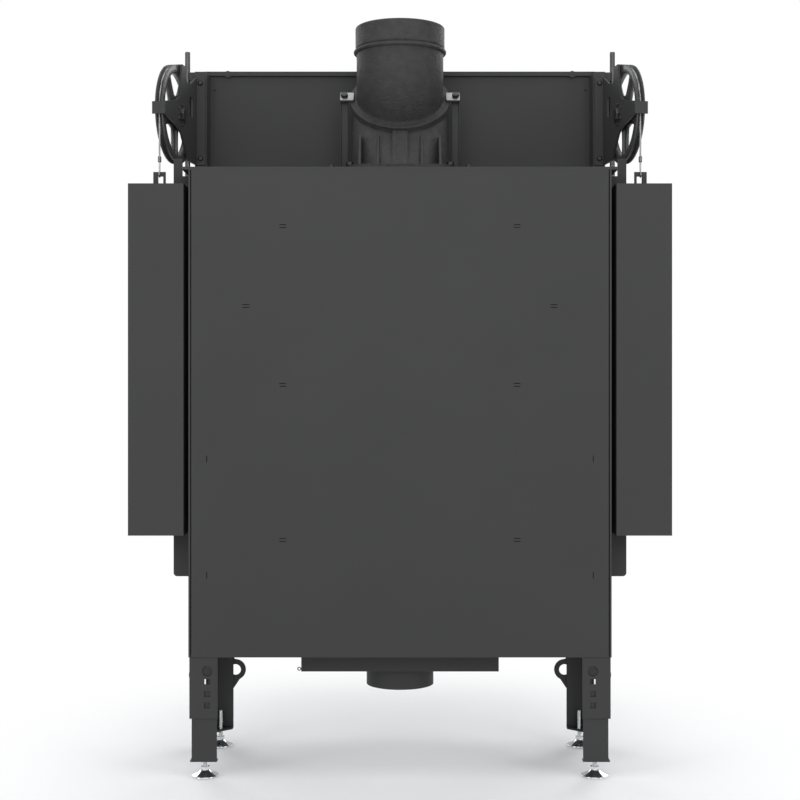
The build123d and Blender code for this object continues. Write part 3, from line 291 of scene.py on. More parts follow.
def add_node(tree, kind, inputs=None, **settings):
    """A shader node of the kind, with its settings and the values of its inputs."""
    made = tree.nodes.new(f"ShaderNode{kind}")
    for name, value in settings.items():
        setattr(made, name, value)
    for name, value in (inputs or {}).items():
        made.inputs[name].default_value = value
    return made


def new_surface(name):
    """A new material with its node tree, its main shader and a node of object coordinates."""
    material = bpy.data.materials.new(name)
    material.use_nodes = True
    tree = material.node_tree
    return material, tree, tree.nodes["Principled BSDF"], add_node(tree, "TexCoord")


def noise(tree, coordinates, scale, detail=4.0, roughness=0.55, stretch=(1.0, 1.0, 1.0)):
    """A noise texture in object coordinates, stretched along the axes."""
    mapping = add_node(tree, "Mapping", {"Scale": stretch})
    link(tree, coordinates, "Object", mapping, "Vector")
    texture = add_node(tree, "TexNoise", {"Scale": scale, "Detail": detail, "Roughness": roughness})
    link(tree, mapping, "Vector", texture, "Vector")
    return texture


def spread(tree, texture, low, high):
    """Maps a texture's middle range onto two values."""
    middle_low, middle_high = NOISE_MIDDLE
    ends = {"From Min": middle_low, "From Max": middle_high, "To Min": low, "To Max": high}
    ranged = add_node(tree, "MapRange", ends)
    link(tree, texture, "Fac", ranged, "Value")
    return ranged


def tinted(tree, shader, base, tones):
    """Gives the shader the base colour scaled by the tones."""
    scaled = add_node(tree, "VectorMath", {0: base}, operation="SCALE")
    link(tree, tones, "Result", scaled, "Scale")
    link(tree, scaled, "Vector", shader, "Base Color")


def relief_over(tree, texture, strength, distance, under=None):
    """A bump from the texture, laid over the normal of the node under it where there is one."""
    relief = add_node(tree, "Bump", {"Strength": strength, "Distance": distance})
    link(tree, texture, "Fac", relief, "Height")
    if under:
        link(tree, under, "Normal", relief, "Normal")
    return relief


def finish_of(name, base, rough, metal=0.0, grain=600.0, bump=0.15, depth=0.0002, tone=0.12, edge=0.0008,
              stretch=(1.0, 1.0, 1.0), coarse=9.0, second=None, specular=0.5):
    """A surface with fine grain, slow tone and gloss changes and softly rounded edges.

    Where second is given, it holds the scale, strength and depth of larger lumps.
    """
    material, tree, shader, coordinates = new_surface(name)
    shader.inputs["Metallic"].default_value = metal
    shader.inputs["Specular IOR Level"].default_value = specular
    slow = noise(tree, coordinates, coarse, 3.0)
    tinted(tree, shader, base, spread(tree, slow, 1 - tone, 1 + tone))

    fine = noise(tree, coordinates, grain, 5.0, 0.6, stretch)
    gloss = spread(tree, fine, max(rough - GLOSS_CHANGE, LEAST_ROUGH), min(rough + GLOSS_CHANGE, 1.0))
    link(tree, gloss, "Result", shader, "Roughness")

    edges = add_node(tree, "Bevel", {"Radius": edge}, samples=4)
    last = relief_over(tree, fine, bump, depth, edges)
    if second:
        scale, strength, distance = second
        last = relief_over(tree, noise(tree, coordinates, scale, 2.0), strength, distance, last)
    link(tree, last, "Normal", shader, "Normal")
    return material


def glass_of(name, tint):
    """Clear glass with a faint film of smoke that varies over the pane."""
    material, tree, shader, coordinates = new_surface(name)
    shader.inputs["Transmission Weight"].default_value = 1.0
    shader.inputs["IOR"].default_value = 1.46
    film = noise(tree, coordinates, 5.0, 4.0)
    tinted(tree, shader, tint, spread(tree, film, 0.94, 1.0))
    smear = noise(tree, coordinates, 22.0, 5.0, 0.65, (1.0, 1.0, 0.3))
    gloss = spread(tree, smear, 0.008, 0.03)
    link(tree, gloss, "Result", shader, "Roughness")
    ripple = relief_over(tree, smear, 0.012, 0.0002)
    link(tree, ripple, "Normal", shader, "Normal")
    return material


FINISHES = {}


def all_finishes(paint):
    """Every finish, by the name of its material slot."""
    dark = tuple(paint.colour)
    return {
        "dark_paint": finish_of("dark paint", dark, paint.roughness, grain=1400.0, bump=0.1, depth=0.0001,
                                tone=0.04, coarse=4.0, second=(420.0, 0.06, 0.0002), specular=0.35),
        "cast_iron": finish_of("cast iron", tuple(paint.cast_colour), 0.6, grain=520.0, bump=0.8,
                               depth=0.0018, tone=0.2, edge=0.0025, coarse=60.0, second=(190.0, 0.8, 0.0024),
                               specular=0.4),
        "rope_steel": finish_of("bright wire", (0.4, 0.4, 0.395), 0.42, 1.0, grain=2600.0, bump=0.08, tone=0.1,
                                edge=0.0002),
        "foot_zinc": finish_of("bright zinc", (0.78, 0.79, 0.8), 0.17, 1.0, grain=700.0, bump=0.04, tone=0.06,
                               edge=0.0006),
        "clamp_steel": finish_of("pressed steel", (0.3, 0.3, 0.3), 0.42, 1.0, grain=900.0, bump=0.12, tone=0.16,
                                 coarse=60.0, edge=0.0008),
        "fireclay": finish_of("fired clay", (0.47, 0.38, 0.27), 0.93, grain=900.0, bump=0.5, depth=0.0006,
                              tone=0.13, coarse=28.0, edge=0.0015, second=(120.0, 0.35, 0.0012)),
        "seal_rope": finish_of("woven seal", (0.025, 0.024, 0.023), 0.95, grain=1500.0, bump=0.7, depth=0.0006,
                               tone=0.3, coarse=200.0, edge=0.0004),
        "guide_steel": finish_of("dark rod", (0.085, 0.084, 0.082), 0.36, 0.9, grain=1200.0, bump=0.06,
                                 stretch=(1.0, 1.0, 0.05), tone=0.2, coarse=30.0, edge=0.0006),
        "raw_steel": finish_of("raw plate", (0.24, 0.225, 0.21), 0.52, 1.0, grain=500.0, bump=0.2, tone=0.22,
                               coarse=25.0),
        "handle_steel": finish_of("satin steel", (0.52, 0.515, 0.505), 0.3, 1.0, grain=1800.0, bump=0.1,
                                  stretch=(0.04, 1.0, 1.0), tone=0.05, edge=0.0008),
        "axle_steel": finish_of("oiled steel", (0.16, 0.158, 0.155), 0.34, 1.0, grain=1100.0, bump=0.08,
                                tone=0.18, coarse=80.0, edge=0.0008),
        "pulley_grey": finish_of("moulded wheel", (0.042, 0.042, 0.043), 0.4, grain=1100.0, bump=0.12,
                                 tone=0.06, coarse=25.0, edge=0.0012),
        "dark_bolts": finish_of("black fasteners", (0.03, 0.03, 0.03), 0.38, 0.6, grain=1500.0, bump=0.1,
                                tone=0.1, coarse=90.0, edge=0.0005),
        "door_glass": glass_of("heat-proof glass", (0.93, 0.94, 0.93)),
    }


def finish(slot):
    """The finish of a material slot, made once."""
    if not FINISHES:
        FINISHES.update(all_finishes(bpy.context.scene.insert_paint))
    return FINISHES[slot]


def stand_for(piece, body, slot, *nodes):
    """Makes a piece ride on its body in place of the named nodes."""
    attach(piece, body)
    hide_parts(*nodes)


# Settings


class PaintSettings(bpy.types.PropertyGroup):
    """Colours and gloss of the painted steel and of the castings"""

    colour: shade("Paint", "Colour of the painted sheet", (0.0315, 0.0315, 0.032))
    cast_colour: shade("Cast iron", "Colour of the painted castings", (0.031, 0.031, 0.0315))
    roughness: FloatProperty(
        name="Roughness", description="Roughness of the matt paint", default=0.6, min=0.0, max=1.0
    )


class ElbowSettings(bpy.types.PropertyGroup):
    """Sizes of the cast flue elbow"""

    ring: spot("Ring centre", "Middle of the joint face under the elbow", (0.0, -0.022156, 1.48))
    tilt: angle("Tilt", "Lean of the ring from level", math.radians(45))
    bend: length("Bend radius", "Radius of the bend's middle line", 0.098)
    neck: length("Neck", "Straight length between the ring and the bend", 0.015)
    gap: length("Gap", "Running gap above the casting's ring", 0.0003)
    ring_radius: length("Ring radius", "Outer radius of the ring", 0.114)
    ring_height: length("Ring height", "Thickness of the ring", 0.0073)
    pipe: length("Pipe radius", "Outer radius of the pipe", 0.0974)
    bore: length("Bore radius", "Inner radius of the pipe", 0.091)
    bead: length("Bead radius", "Outer radius at the bead", 0.104)
    bead_height: length("Bead height", "Height of the bead's middle above the floor", 1.58)
    bead_half: length("Bead half width", "Half of the bead's width along the pipe", 0.005)
    collar: length("Collar radius", "Outer radius of the collar", 0.1)
    collar_low: length("Collar foot", "Height of the collar's foot above the floor", 1.588)
    collar_top: length("Collar top", "Height of the collar's top above the floor", 1.634)
    grain: length("Cast grain", "Depth of the unevenness of the casting", 0.00035)
    steps: whole("Steps", "Points round the pipe", 192, 24)


class ClampSettings(bpy.types.PropertyGroup):
    """Sizes of the clamps that hold the elbow's ring"""

    inner: length("Inner reach", "Distance of a plate's inner end from the middle", 0.104)
    width: length("Plate width", "Width of a plate along the ring's slope", 0.03)
    foot: length("Plate foot", "Height of a plate's underside above the ring's joint face", 0.0076)
    thick: length("Plate thickness", "Thickness of a plate", 0.006)
    upright: length("Upright width", "Width of an upright", 0.0186)
    depth: length("Upright depth", "Depth of an upright", 0.006)
    sheet: length("Upright sheet", "Thickness of the upright's web", 0.003)
    fold: length("Fold", "Thickness of the folded edges", 0.0022)


class PulleySettings(bpy.types.PropertyGroup):
    """Sizes of the spoked rope pulleys"""

    centre: spot("Centre", "Middle of the right pulley", (0.5, 0.05465, 1.4348))
    turn: angle("Turn", "Turn of the wheel about the upright", math.radians(9.05))
    radius: length("Radius", "Outer radius of the wheel", 0.108)
    half: length("Half thickness", "Half thickness of the rim", 0.009)
    groove: length("Groove radius", "Radius at the bottom of the rope groove", 0.0995)
    groove_half: length("Groove half width", "Half width of the groove at its mouth", 0.0056)
    rim: length("Rim radius", "Inner radius of the rim", 0.091)
    hub: length("Hub radius", "Outer radius of the hub", 0.03)
    bore: length("Bore radius", "Radius of the bore for the axle", 0.00806)
    spokes: whole("Spokes", "Number of spokes", 5, 3)
    spoke_width: length("Spoke width", "Width of a spoke near the rim", 0.026)
    spoke_half: length("Spoke half thickness", "Half thickness of a spoke", 0.0075)
    start: angle("First spoke", "Turn of the first spoke", math.radians(18 + 36))


class RopeSettings(bpy.types.PropertyGroup):
    """Sizes of the wire ropes"""

    line: length("Line radius", "Radius of the rope's middle line over the pulley", 0.1018)
    radius: length("Rope radius", "Outer radius of the rope", 0.002)
    strands: whole("Strands", "Strands laid around the middle one", 6, 3)
    lay: length("Lay", "Length along the rope in which a strand goes round once", 0.018)
    ferrule: length("Ferrule radius", "Outer radius of the pressed ferrules", 0.00385)
    ferrule_length: length("Ferrule length", "Length of the pressed ferrules", 0.013)
    lug: length("Lug height", "Height of the rope's fixing on the door", 0.88)
    rear_ferrule: length("Rear ferrule", "Height of the rear ferrule's foot above the floor", 1.3135)
    ring_radius: length("Ring radius", "Outer radius of the hanger ring", 0.0075)
    ring_wire: length("Ring wire", "Wire radius of the hanger ring", 0.0012)


class FootSettings(bpy.types.PropertyGroup):
    """Sizes of the levelling feet"""

    pad: length("Pad radius", "Radius of the pad", 0.029)
    rim: length("Rim height", "Height of the pad's upright rim", 0.004)
    neck: length("Neck radius", "Radius at the top of the cone", 0.0085)
    cone: length("Cone top", "Height of the cone's top", 0.016)
    hexagon: length("Hexagon radius", "Radius over the hexagon's corners", 0.0104)
    hexagon_height: length("Hexagon height", "Height of the hexagon", 0.006)
    rod: length("Thread radius", "Outer radius of the thread", 0.005)
    root: length("Root radius", "Radius at the root of the thread", 0.00425)
    pitch: length("Pitch", "Rise of the thread in one turn", 0.0015)
    top: length("Top", "Height of the threaded rod's end", 0.082)


class LiningSettings(bpy.types.PropertyGroup):
    """Pattern of the fired clay slabs"""

    reed: length("Reed width", "Width of one upright groove and land", 0.036)
    depth: length("Groove depth", "Depth of the grooves below the slab's face", 0.005)
    joint: length("Joint", "Width of the joint between two slabs", 0.0016)
    slabs: whole("Rear slabs", "Slabs side by side in the rear wall", 3, 1)
    side: length("Side slab", "Thickness of a side wall's slab", 0.03)
    edge: length("Edge", "Radius of the worn slab edges", 0.003)


class SealSettings(bpy.types.PropertyGroup):
    """Sizes of the woven door seal"""

    half_width: length("Half width", "Half of the seal's width across the leaf", 0.0055)
    inset: length("Inset", "Distance of the seal's middle line from its outer edge", 0.006)
    corner: length("Corner", "Radius of the middle line's corners", 0.012)
    braids: whole("Braids", "Waves of the weave once round the leaf", 420, 1)
    sections: whole("Sections", "Sections once round the leaf", 1500, 100)
    around: whole("Points", "Points round one section", 24, 8)


class HandleSettings(bpy.types.PropertyGroup):
    """Sizes of the door handle"""

    radius: length("Radius", "Radius of the bar", 0.006)
    post: length("Post radius", "Radius of the two posts", 0.005)
    edge: length("Edge", "Radius of the turned bar ends", 0.0018)
    groove: length("Groove", "Depth of the turned grooves near the bar ends", 0.0005)
    post_inset: length("Post inset", "Distance of a post's middle line from the bar's end", 0.025)


class StageSettings(bpy.types.PropertyGroup):
    """Camera and light"""

    place: spot("Camera place", "Where the camera stands", (0.0, 3.19215, 0.84))
    lens: FloatProperty(
        name="Lens", description="Focal length in millimetres on a 36 mm frame", default=63.675, min=1.0
    )
    shift: FloatProperty(name="Shift", description="Upward shift of the frame", default=-0.02125)
    floor: length("Floor", "Radius of the pale floor", 6.0)


# Pieces


class INSERT_OT_elbow(bpy.types.Operator):
    """Cast elbow: radius as a function of the way along the bent middle line, with rounded ring, bead and
    collar.

    The middle line leaves the ring square to it, runs straight through the neck, follows an arc until it
    points up and then rises straight to the collar's top. Slow waves round and along the pipe move the
    skin in by up to the grain.
    """

    bl_idname = "insert.elbow"
    bl_label = "Flue elbow"

    def execute(self, context):
        s = context.scene.insert_elbow
        lean = np.array((0.0, math.sin(s.tilt), math.cos(s.tilt)))
        ring = np.array(s.ring)
        bend_start = ring + lean * s.neck
        middle = bend_start + np.array((0.0, -math.cos(s.tilt), math.sin(s.tilt))) * s.bend
        arc_length = s.bend * s.tilt
        bend_end = middle + np.array((0.0, 1.0, 0.0)) * s.bend
        total = s.neck + arc_length + s.collar_top - bend_end[2]

        def at(way):
            """Place and direction of the middle line at a way from the ring's face."""
            if way <= s.neck:
                return ring + lean * way, lean
            if way <= s.neck + arc_length:
                left = s.tilt - (way - s.neck) / s.bend
                outward = np.array((0.0, math.cos(left), -math.sin(left)))
                return middle + outward * s.bend, np.array((0.0, math.sin(left), math.cos(left)))
            return bend_end + np.array((0.0, 0.0, way - s.neck - arc_length)), np.array((0.0, 0.0, 1.0))

        def way_of(height):
            """Way along the middle line of a height on its upright part."""
            return s.neck + arc_length + height - bend_end[2]

        collar_way = way_of(s.collar_low)
        bead_way = way_of(s.bead_height)
        bead = [
            (s.pipe + (s.bead - s.pipe) * math.sin(part), bead_way - s.bead_half * math.cos(part))
            for part in np.linspace(0.12, math.pi - 0.12, 13)
        ]
        outer = [
            (s.bore, s.gap), (s.ring_radius - 0.001, s.gap), (s.ring_radius, s.gap + 0.001),
            (s.ring_radius, s.ring_height - 0.0015), (s.ring_radius - 0.0015, s.ring_height),
            (s.pipe + 0.004, s.ring_height), (s.pipe + 0.0012, s.ring_height + 0.0012),
            (s.pipe, s.ring_height + 0.004),
        ]
        outer += [(s.pipe, way) for way in np.linspace(s.neck, bead_way - s.bead_half - 0.001, 60)]
        outer += bead
        outer += [
            (s.pipe + 0.0006, collar_way - 0.0015), (s.collar - 0.0004, collar_way),
            (s.collar, collar_way + 0.0012),
        ]
        outer += [(s.collar, way) for way in np.linspace(collar_way + 0.003, total - 0.003, 14)]
        outer += [
            (s.collar - 0.0003, total - 0.0012), (s.collar - 0.0014, total), (s.bore + 0.0014, total),
            (s.bore + 0.0003, total - 0.0012),
        ]
        outer += [(s.bore, way) for way in np.linspace(total - 0.003, s.gap + 0.002, 50)]
        profile = np.array(outer)
        turn = full_turn(s.steps)
        rows = []
        for radius, way in profile:
            place, direction = at(way)
            across = np.array((1.0, 0.0, 0.0))
            up = np.cross(direction, across)
            waves = np.sin(7 * turn + 61 * way) + np.sin(19 * turn - 143 * way) + np.sin(3 * turn + 220 * way)
            rough = (radius > s.bore + 0.001) * (s.gap + 0.004 < way < total - 0.004)
            soft = s.grain * (0.5 + 0.5 * waves / 3) * rough
            reach = (radius - soft)[:, None]
            rows.append(place + reach * (np.cos(turn)[:, None] * across + np.sin(turn)[:, None] * up))
        skin = Skin()
        skin.grid(np.array(rows), wrap_rows=True)
        elbow = skin.finish("flue_elbow_casting", finish("cast_iron"))
        stand_for(elbow, "flue_elbow", "cast_iron", "flue_elbow")
        return {"FINISHED"}


class INSERT_OT_clamps(bpy.types.Operator):
    """Flue clamps: rounded plates laid in the plane of the elbow's ring, each on a painted upright with
    folded edges.
    """

    bl_idname = "insert.clamps"
    bl_label = "Flue clamps"

    def execute(self, context):
        s = context.scene.insert_clamp
        elbow = context.scene.insert_elbow
        low, high = (np.array(corner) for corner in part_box("flue_clamps"))
        lean = np.array(((1, 0, 0), (0, math.cos(elbow.tilt), -math.sin(elbow.tilt)),
                         (0, math.sin(elbow.tilt), math.cos(elbow.tilt))))
        ring = np.array(elbow.ring)
        skin = Skin()
        for sign in (1.0, -1.0):
            xs = sorted((sign * s.inner, sign * high[0]))
            plate = slab((xs[0], -s.width / 2, s.foot), (xs[1], s.width / 2, s.foot + s.thick), 0.0012, 2)
            skin.kind = 0
            skin.grid(ring + plate @ lean, cap_start=True, cap_end=True)
            xs = sorted((sign * (high[0] - s.upright), sign * high[0]))
            top = ring[2] + s.foot / math.cos(elbow.tilt) - 0.0015
            skin.kind = 1
            add_slab(skin, (xs[0], ring[1], low[2]), (xs[1], ring[1] + s.sheet, top), 0.001, 1)
            for x in xs:
                inner = x + (s.fold if x == xs[0] else -s.fold)
                fold_low = (min(x, inner), ring[1] + s.sheet / 2, low[2])
                add_slab(skin, fold_low, (max(x, inner), ring[1] + s.depth, top), 0.0007, 0)
        clamps = skin.finish("flue_clamp_plates", finish("clamp_steel"), finish("dark_paint"))
        stand_for(clamps, "root", "clamp_steel", "flue_clamps")
        return {"FINISHED"}


class INSERT_OT_pulleys(bpy.types.Operator):
    """Rope pulleys: turned rim and hub profiles, and spokes that are wider at both ends and thicker in
    the middle.

    The rim's profile has a groove with a round bottom and rolled lips. A spoke's half width is its middle
    width plus a square law towards the rim and the hub, and its half thickness has a raised rib along the
    middle line.
    """

    bl_idname = "insert.pulleys"
    bl_label = "Rope pulleys"

    def execute(self, context):
        s = context.scene.insert_pulley
        edge = 0.0014
        groove = [(s.groove + (s.radius - s.groove) * abs(part) ** 2.2, s.groove_half * part)
                  for part in np.linspace(1, -1, 17)]
        rim = [
            (s.rim + edge, s.half), (s.radius - edge, s.half), (s.radius - 0.0004, s.half - 0.0005),
            (s.radius, s.half - edge), *groove, (s.radius, edge - s.half),
            (s.radius - 0.0004, 0.0005 - s.half), (s.radius - edge, -s.half), (s.rim + edge, -s.half),
            (s.rim + 0.0004, 0.0005 - s.half), (s.rim, edge - s.half), (s.rim - 0.002, -0.001),
            (s.rim - 0.002, 0.001), (s.rim, s.half - edge), (s.rim + 0.0004, s.half - 0.0005),
        ]
        hub = [
            (s.bore, s.half - 0.001), (s.bore + 0.001, s.half), (s.hub - 0.012, s.half),
            (s.hub - 0.0105, s.half - 0.0012), (s.hub - 0.0075, s.half - 0.0012),
            (s.hub - 0.006, s.half - 0.0002), (s.hub - edge, s.half - 0.0002), (s.hub, s.half - edge),
            (s.hub + 0.001, 0.0035), (s.hub + 0.007, 0.0033), (s.hub + 0.007, -0.0033),
            (s.hub + 0.001, -0.0035), (s.hub, edge - s.half), (s.hub - edge, -s.half),
            (s.bore + 0.001, -s.half), (s.bore, 0.001 - s.half),
        ]
        for hand, sign in HANDS:
            centre = np.array(s.centre) * (sign, 1.0, 1.0)
            axis = np.array((-sign * math.cos(s.turn), math.sin(s.turn), 0.0))
            forward = np.array((-sign * math.sin(s.turn), -math.cos(s.turn), 0.0))
            up = np.array((0.0, 0.0, 1.0))
            skin = Skin()
            skin.grid(turned(rim, centre, axis, 160), wrap_rows=True, flip=True)
            skin.grid(turned(hub, centre, axis, 96), wrap_rows=True, flip=True)
            way = np.linspace(s.hub + 0.004, s.rim - 0.0005, 24)
            part = (way - way[0]) / (way[-1] - way[0])
            half_width = s.spoke_width / 2 * (0.8 + 0.9 * (1 - part) ** 4 + 1.3 * part ** 6)
            side = np.array((-1, -1, -0.86, -0.35, -0.2, 0.2, 0.35, 0.86))
            side = np.concatenate((side, -side))
            lift = np.array((-0.3, 0.3, 0.42, 0.42, 1, 1, 0.42, 0.42))
            lift = np.concatenate((lift, -lift))
            for spoke in range(s.spokes):
                turn = s.start + 2 * math.pi * spoke / s.spokes
                out = math.cos(turn) * forward + math.sin(turn) * up
                across = math.cos(turn) * up - math.sin(turn) * forward
                rows = (centre + way[:, None, None] * out + (half_width[:, None] * side)[:, :, None] * across
                        + (s.spoke_half * lift)[None, :, None] * axis)
                skin.grid(rows, cap_start=True, cap_end=True, flip=sign > 0)
            wheel = skin.finish(f"rope_pulley_{hand}", finish("pulley_grey"))
            stand_for(wheel, f"pulley_{hand}", "pulley_grey", f"pulley_{hand}")
        return {"FINISHED"}


def laid_rope(skin, path, s):
    """Wire rope: one middle strand and outer strands that wind round the path once in each lay."""
    path = np.asarray(path, float)
    steps = np.linalg.norm(np.diff(path, axis=0), axis=1)
    way = np.concatenate(([0.0], np.cumsum(steps)))
    strand = s.radius / 3.02
    first, second = carried(path)
    skin.grid(tube(path, strand, 6), cap_start=True, cap_end=True)
    for number in range(s.strands):
        turn = 2 * math.pi * (way / s.lay + number / s.strands)
        offset = np.cos(turn)[:, None] * first + np.sin(turn)[:, None] * second
        skin.grid(tube(path + 2 * strand * offset, strand, 6), cap_start=True, cap_end=True)


def pressed_ferrule(skin, foot, s):
    """A pressed dark sleeve round an upright rope, with rounded ends and three shallow press marks."""
    skin.kind = 1
    way = np.linspace(0, 1, 25)
    marks = 0.06 * np.clip(np.cos(6 * math.pi * way), 0, 1)
    ends = np.minimum(1, 0.72 + 2.8 * np.minimum(way, 1 - way))
    radius = s.ferrule * (ends - marks * (way > 0.15) * (way < 0.85))
    profile = np.stack((radius, way * s.ferrule_length), axis=1)
    skin.grid(turned(profile, foot, (0, 0, 1), 24), cap_start=True, cap_end=True)
    skin.kind = 0


class INSERT_OT_ropes(bpy.types.Operator):
    """Wire ropes: strands wound as helices round straight runs and round the half circle over each pulley."""

    bl_idname = "insert.ropes"
    bl_label = "Wire ropes"

    def execute(self, context):
        s = context.scene.insert_rope
        wheel = context.scene.insert_pulley
        steel, sleeve = finish("rope_steel"), finish("axle_steel")
        for hand, sign in HANDS:
            centre = np.array(wheel.centre) * (sign, 1.0, 1.0)
            forward = np.array((-sign * math.sin(wheel.turn), -math.cos(wheel.turn), 0.0))
            front, rear = centre + forward * s.line, centre - forward * s.line
            lug = np.array((front[0], front[1], s.lug))

            skin = Skin()
            laid_rope(skin, np.linspace(lug, front, 280), s)
            pressed_ferrule(skin, lug, s)
            run = skin.finish(f"front_rope_{hand}", steel, sleeve)
            stand_for(run, "root", "rope_steel", f"rope_front_{hand}")
            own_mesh(run)

            turn = np.linspace(0, math.pi, 260)[:, None]
            skin = Skin()
            arc = np.cos(turn) * forward + np.sin(turn) * np.array((0.0, 0.0, 1.0))
            laid_rope(skin, centre + s.line * arc, s)
            bow = skin.finish(f"rope_over_pulley_{hand}", steel)
            stand_for(bow, "root", "rope_steel", f"rope_over_pulley_{hand}")

            foot = np.array((rear[0], rear[1], s.rear_ferrule))
            low = np.array(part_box(f"rope_rear_{hand}")[0])
            ring_middle = np.array((rear[0], rear[1], low[2] + s.ring_radius))
            skin = Skin()
            laid_rope(skin, np.linspace(foot, rear, 90), s)
            pressed_ferrule(skin, foot, s)
            turn = full_turn(48)[:, None]
            wire_line = s.ring_radius - s.ring_wire
            circle = np.cos(turn) * np.array((0, 1, 0)) + np.sin(turn) * np.array((0, 0, 1))
            loop = ring_middle + wire_line * circle
            skin.grid(tube(loop, s.ring_wire, 10, closed=True), wrap_rows=True)
            stem = np.linspace(ring_middle + (0, 0, s.ring_radius - 0.0005), foot + (0, 0, 0.0005), 12)
            skin.grid(tube(stem, s.radius * 0.9, 12), cap_start=True, cap_end=True)
            run = skin.finish(f"rear_rope_{hand}", steel, sleeve)
            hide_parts(f"rope_rear_{hand}")
            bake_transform(run)
        return {"FINISHED"}


class INSERT_OT_feet(bpy.types.Operator):
    """Levelling feet: a turned pad and cone, a hexagon and a threaded rod.

    The thread's radius is a triangle wave of the height over the pitch plus the turn, from the root to
    the crest.
    """

    bl_idname = "insert.feet"
    bl_label = "Levelling feet"

    def execute(self, context):
        s = context.scene.insert_foot
        zinc = finish("foot_zinc")
        up = (0.0, 0.0, 1.0)
        for row, hand in FEET:
            node = f"levelling_foot_{row}_{hand}"
            low, high = (np.array(corner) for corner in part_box(node))
            middle = (low + high) / 2
            base = np.array((middle[0], middle[1], 0.0))
            slope = [(s.neck + (s.pad - 0.0015 - s.neck) * (1 - part) ** 1.6, s.rim + (s.cone - s.rim) * part)
                     for part in np.linspace(0, 1, 14)]
            profile = [(s.pad - 0.001, 0.0), (s.pad - 0.0003, 0.0004), (s.pad, 0.001),
                       (s.pad, s.rim - 0.0012), (s.pad - 0.0004, s.rim - 0.0004), *slope]
            skin = Skin()
            skin.grid(turned(profile, base, up, 96), cap_start=True, cap_end=True)
            sunk = 0.0002
            hexagon_prism(skin, base + (0, 0, s.cone - sunk), up, s.hexagon, s.hexagon_height + sunk, 0.0006)
            bottom = s.cone + s.hexagon_height - 0.0005
            rows, columns = 560, 24
            turn = full_turn(columns)
            height = np.linspace(bottom, s.top, rows)
            wave = np.abs(((height[:, None] / s.pitch - turn / (2 * math.pi)) % 1.0) * 2 - 1)
            radius = s.root + (s.rod - s.root) * np.clip(wave * 1.3 - 0.15, 0, 1)
            radius = np.minimum(radius, (s.root + np.minimum(s.top - height, 0.001) * 0.75)[:, None])
            first, second = square_to(up)
            ring = np.cos(turn)[:, None] * first + np.sin(turn)[:, None] * second
            rod = base + radius[:, :, None] * ring + height[:, None, None] * np.array(up)
            skin.grid(rod, cap_start=True, cap_end=True)
            foot = skin.finish(node, zinc)
            stand_for(foot, f"foot_{row}_{hand}", "foot_zinc", node)
        return {"FINISHED"}


def reeded(skin, low, high, thin, face, s):
    """A slab whose face has upright rounded grooves.

    The depth of the face is the groove depth times a power of the cosine across the width, and falls to
    nothing along the slab's borders, where the edge is drawn in as a quarter circle.
    """
    border_width, border_step, fade_width = 0.03, 0.004, 0.022
    across = 1 - thin
    wide = high[across] - low[across]
    tall = high[2] - low[2]
    columns = max(int(wide / s.reed), 1) * 18
    u = np.linspace(0.0, wide, columns)
    inner = border_width + border_step
    v = np.concatenate((
        np.linspace(0, border_width, 8), np.linspace(inner, tall - inner, 20),
        np.linspace(tall - border_width, tall, 8),
    ))
    reeds = max(round(wide / s.reed), 1)
    wave = (0.5 + 0.5 * np.cos(2 * math.pi * u * reeds / wide)) ** 3
    border = np.clip(np.minimum(v, tall - v) / fade_width - 0.3, 0, 1)
    border = border * border * (3 - 2 * border)
    drop = s.depth * border[:, None] * wave[None, :]
    edge_u = np.clip(1 - np.minimum(u, wide - u) / s.edge, 0, 1)
    edge_v = np.clip(1 - np.minimum(v, tall - v) / s.edge, 0, 1)
    drop = drop + s.edge * np.maximum(edge_u[None, :] ** 2, edge_v[:, None] ** 2)
    near, far = (high[thin], low[thin]) if face > 0 else (low[thin], high[thin])
    rows, columns = drop.shape
    front = np.zeros((rows, columns, 3))
    front[:, :, across] = low[across] + u
    front[:, :, 2] = low[2] + v[:, None]
    front[:, :, thin] = near - face * drop
    back = front.copy()
    back[:, :, thin] = far
    outward = (thin == 1) == (face < 0)
    first = skin.add_points(front)
    second = skin.add_points(back)
    number = np.arange(rows * columns).reshape(rows, columns)

    def quads(a, b, c, d, flip):
        """Four-sided faces through four arrays of point numbers."""
        stack = (a, d, c, b) if flip else (a, b, c, d)
        skin.faces.extend(np.stack(stack, axis=-1).reshape(-1, 4).tolist())

    cell = (number[:-1, :-1], number[:-1, 1:], number[1:, 1:], number[1:, :-1])
    quads(*(first + part for part in cell), not outward)
    quads(*(second + part for part in cell), outward)
    border_line = np.concatenate((number[0, :-1], number[:-1, -1], number[-1, :0:-1], number[:0:-1, 0]))
    ahead = np.roll(border_line, -1)
    quads(first + border_line, second + border_line, second + ahead, first + ahead, not outward)


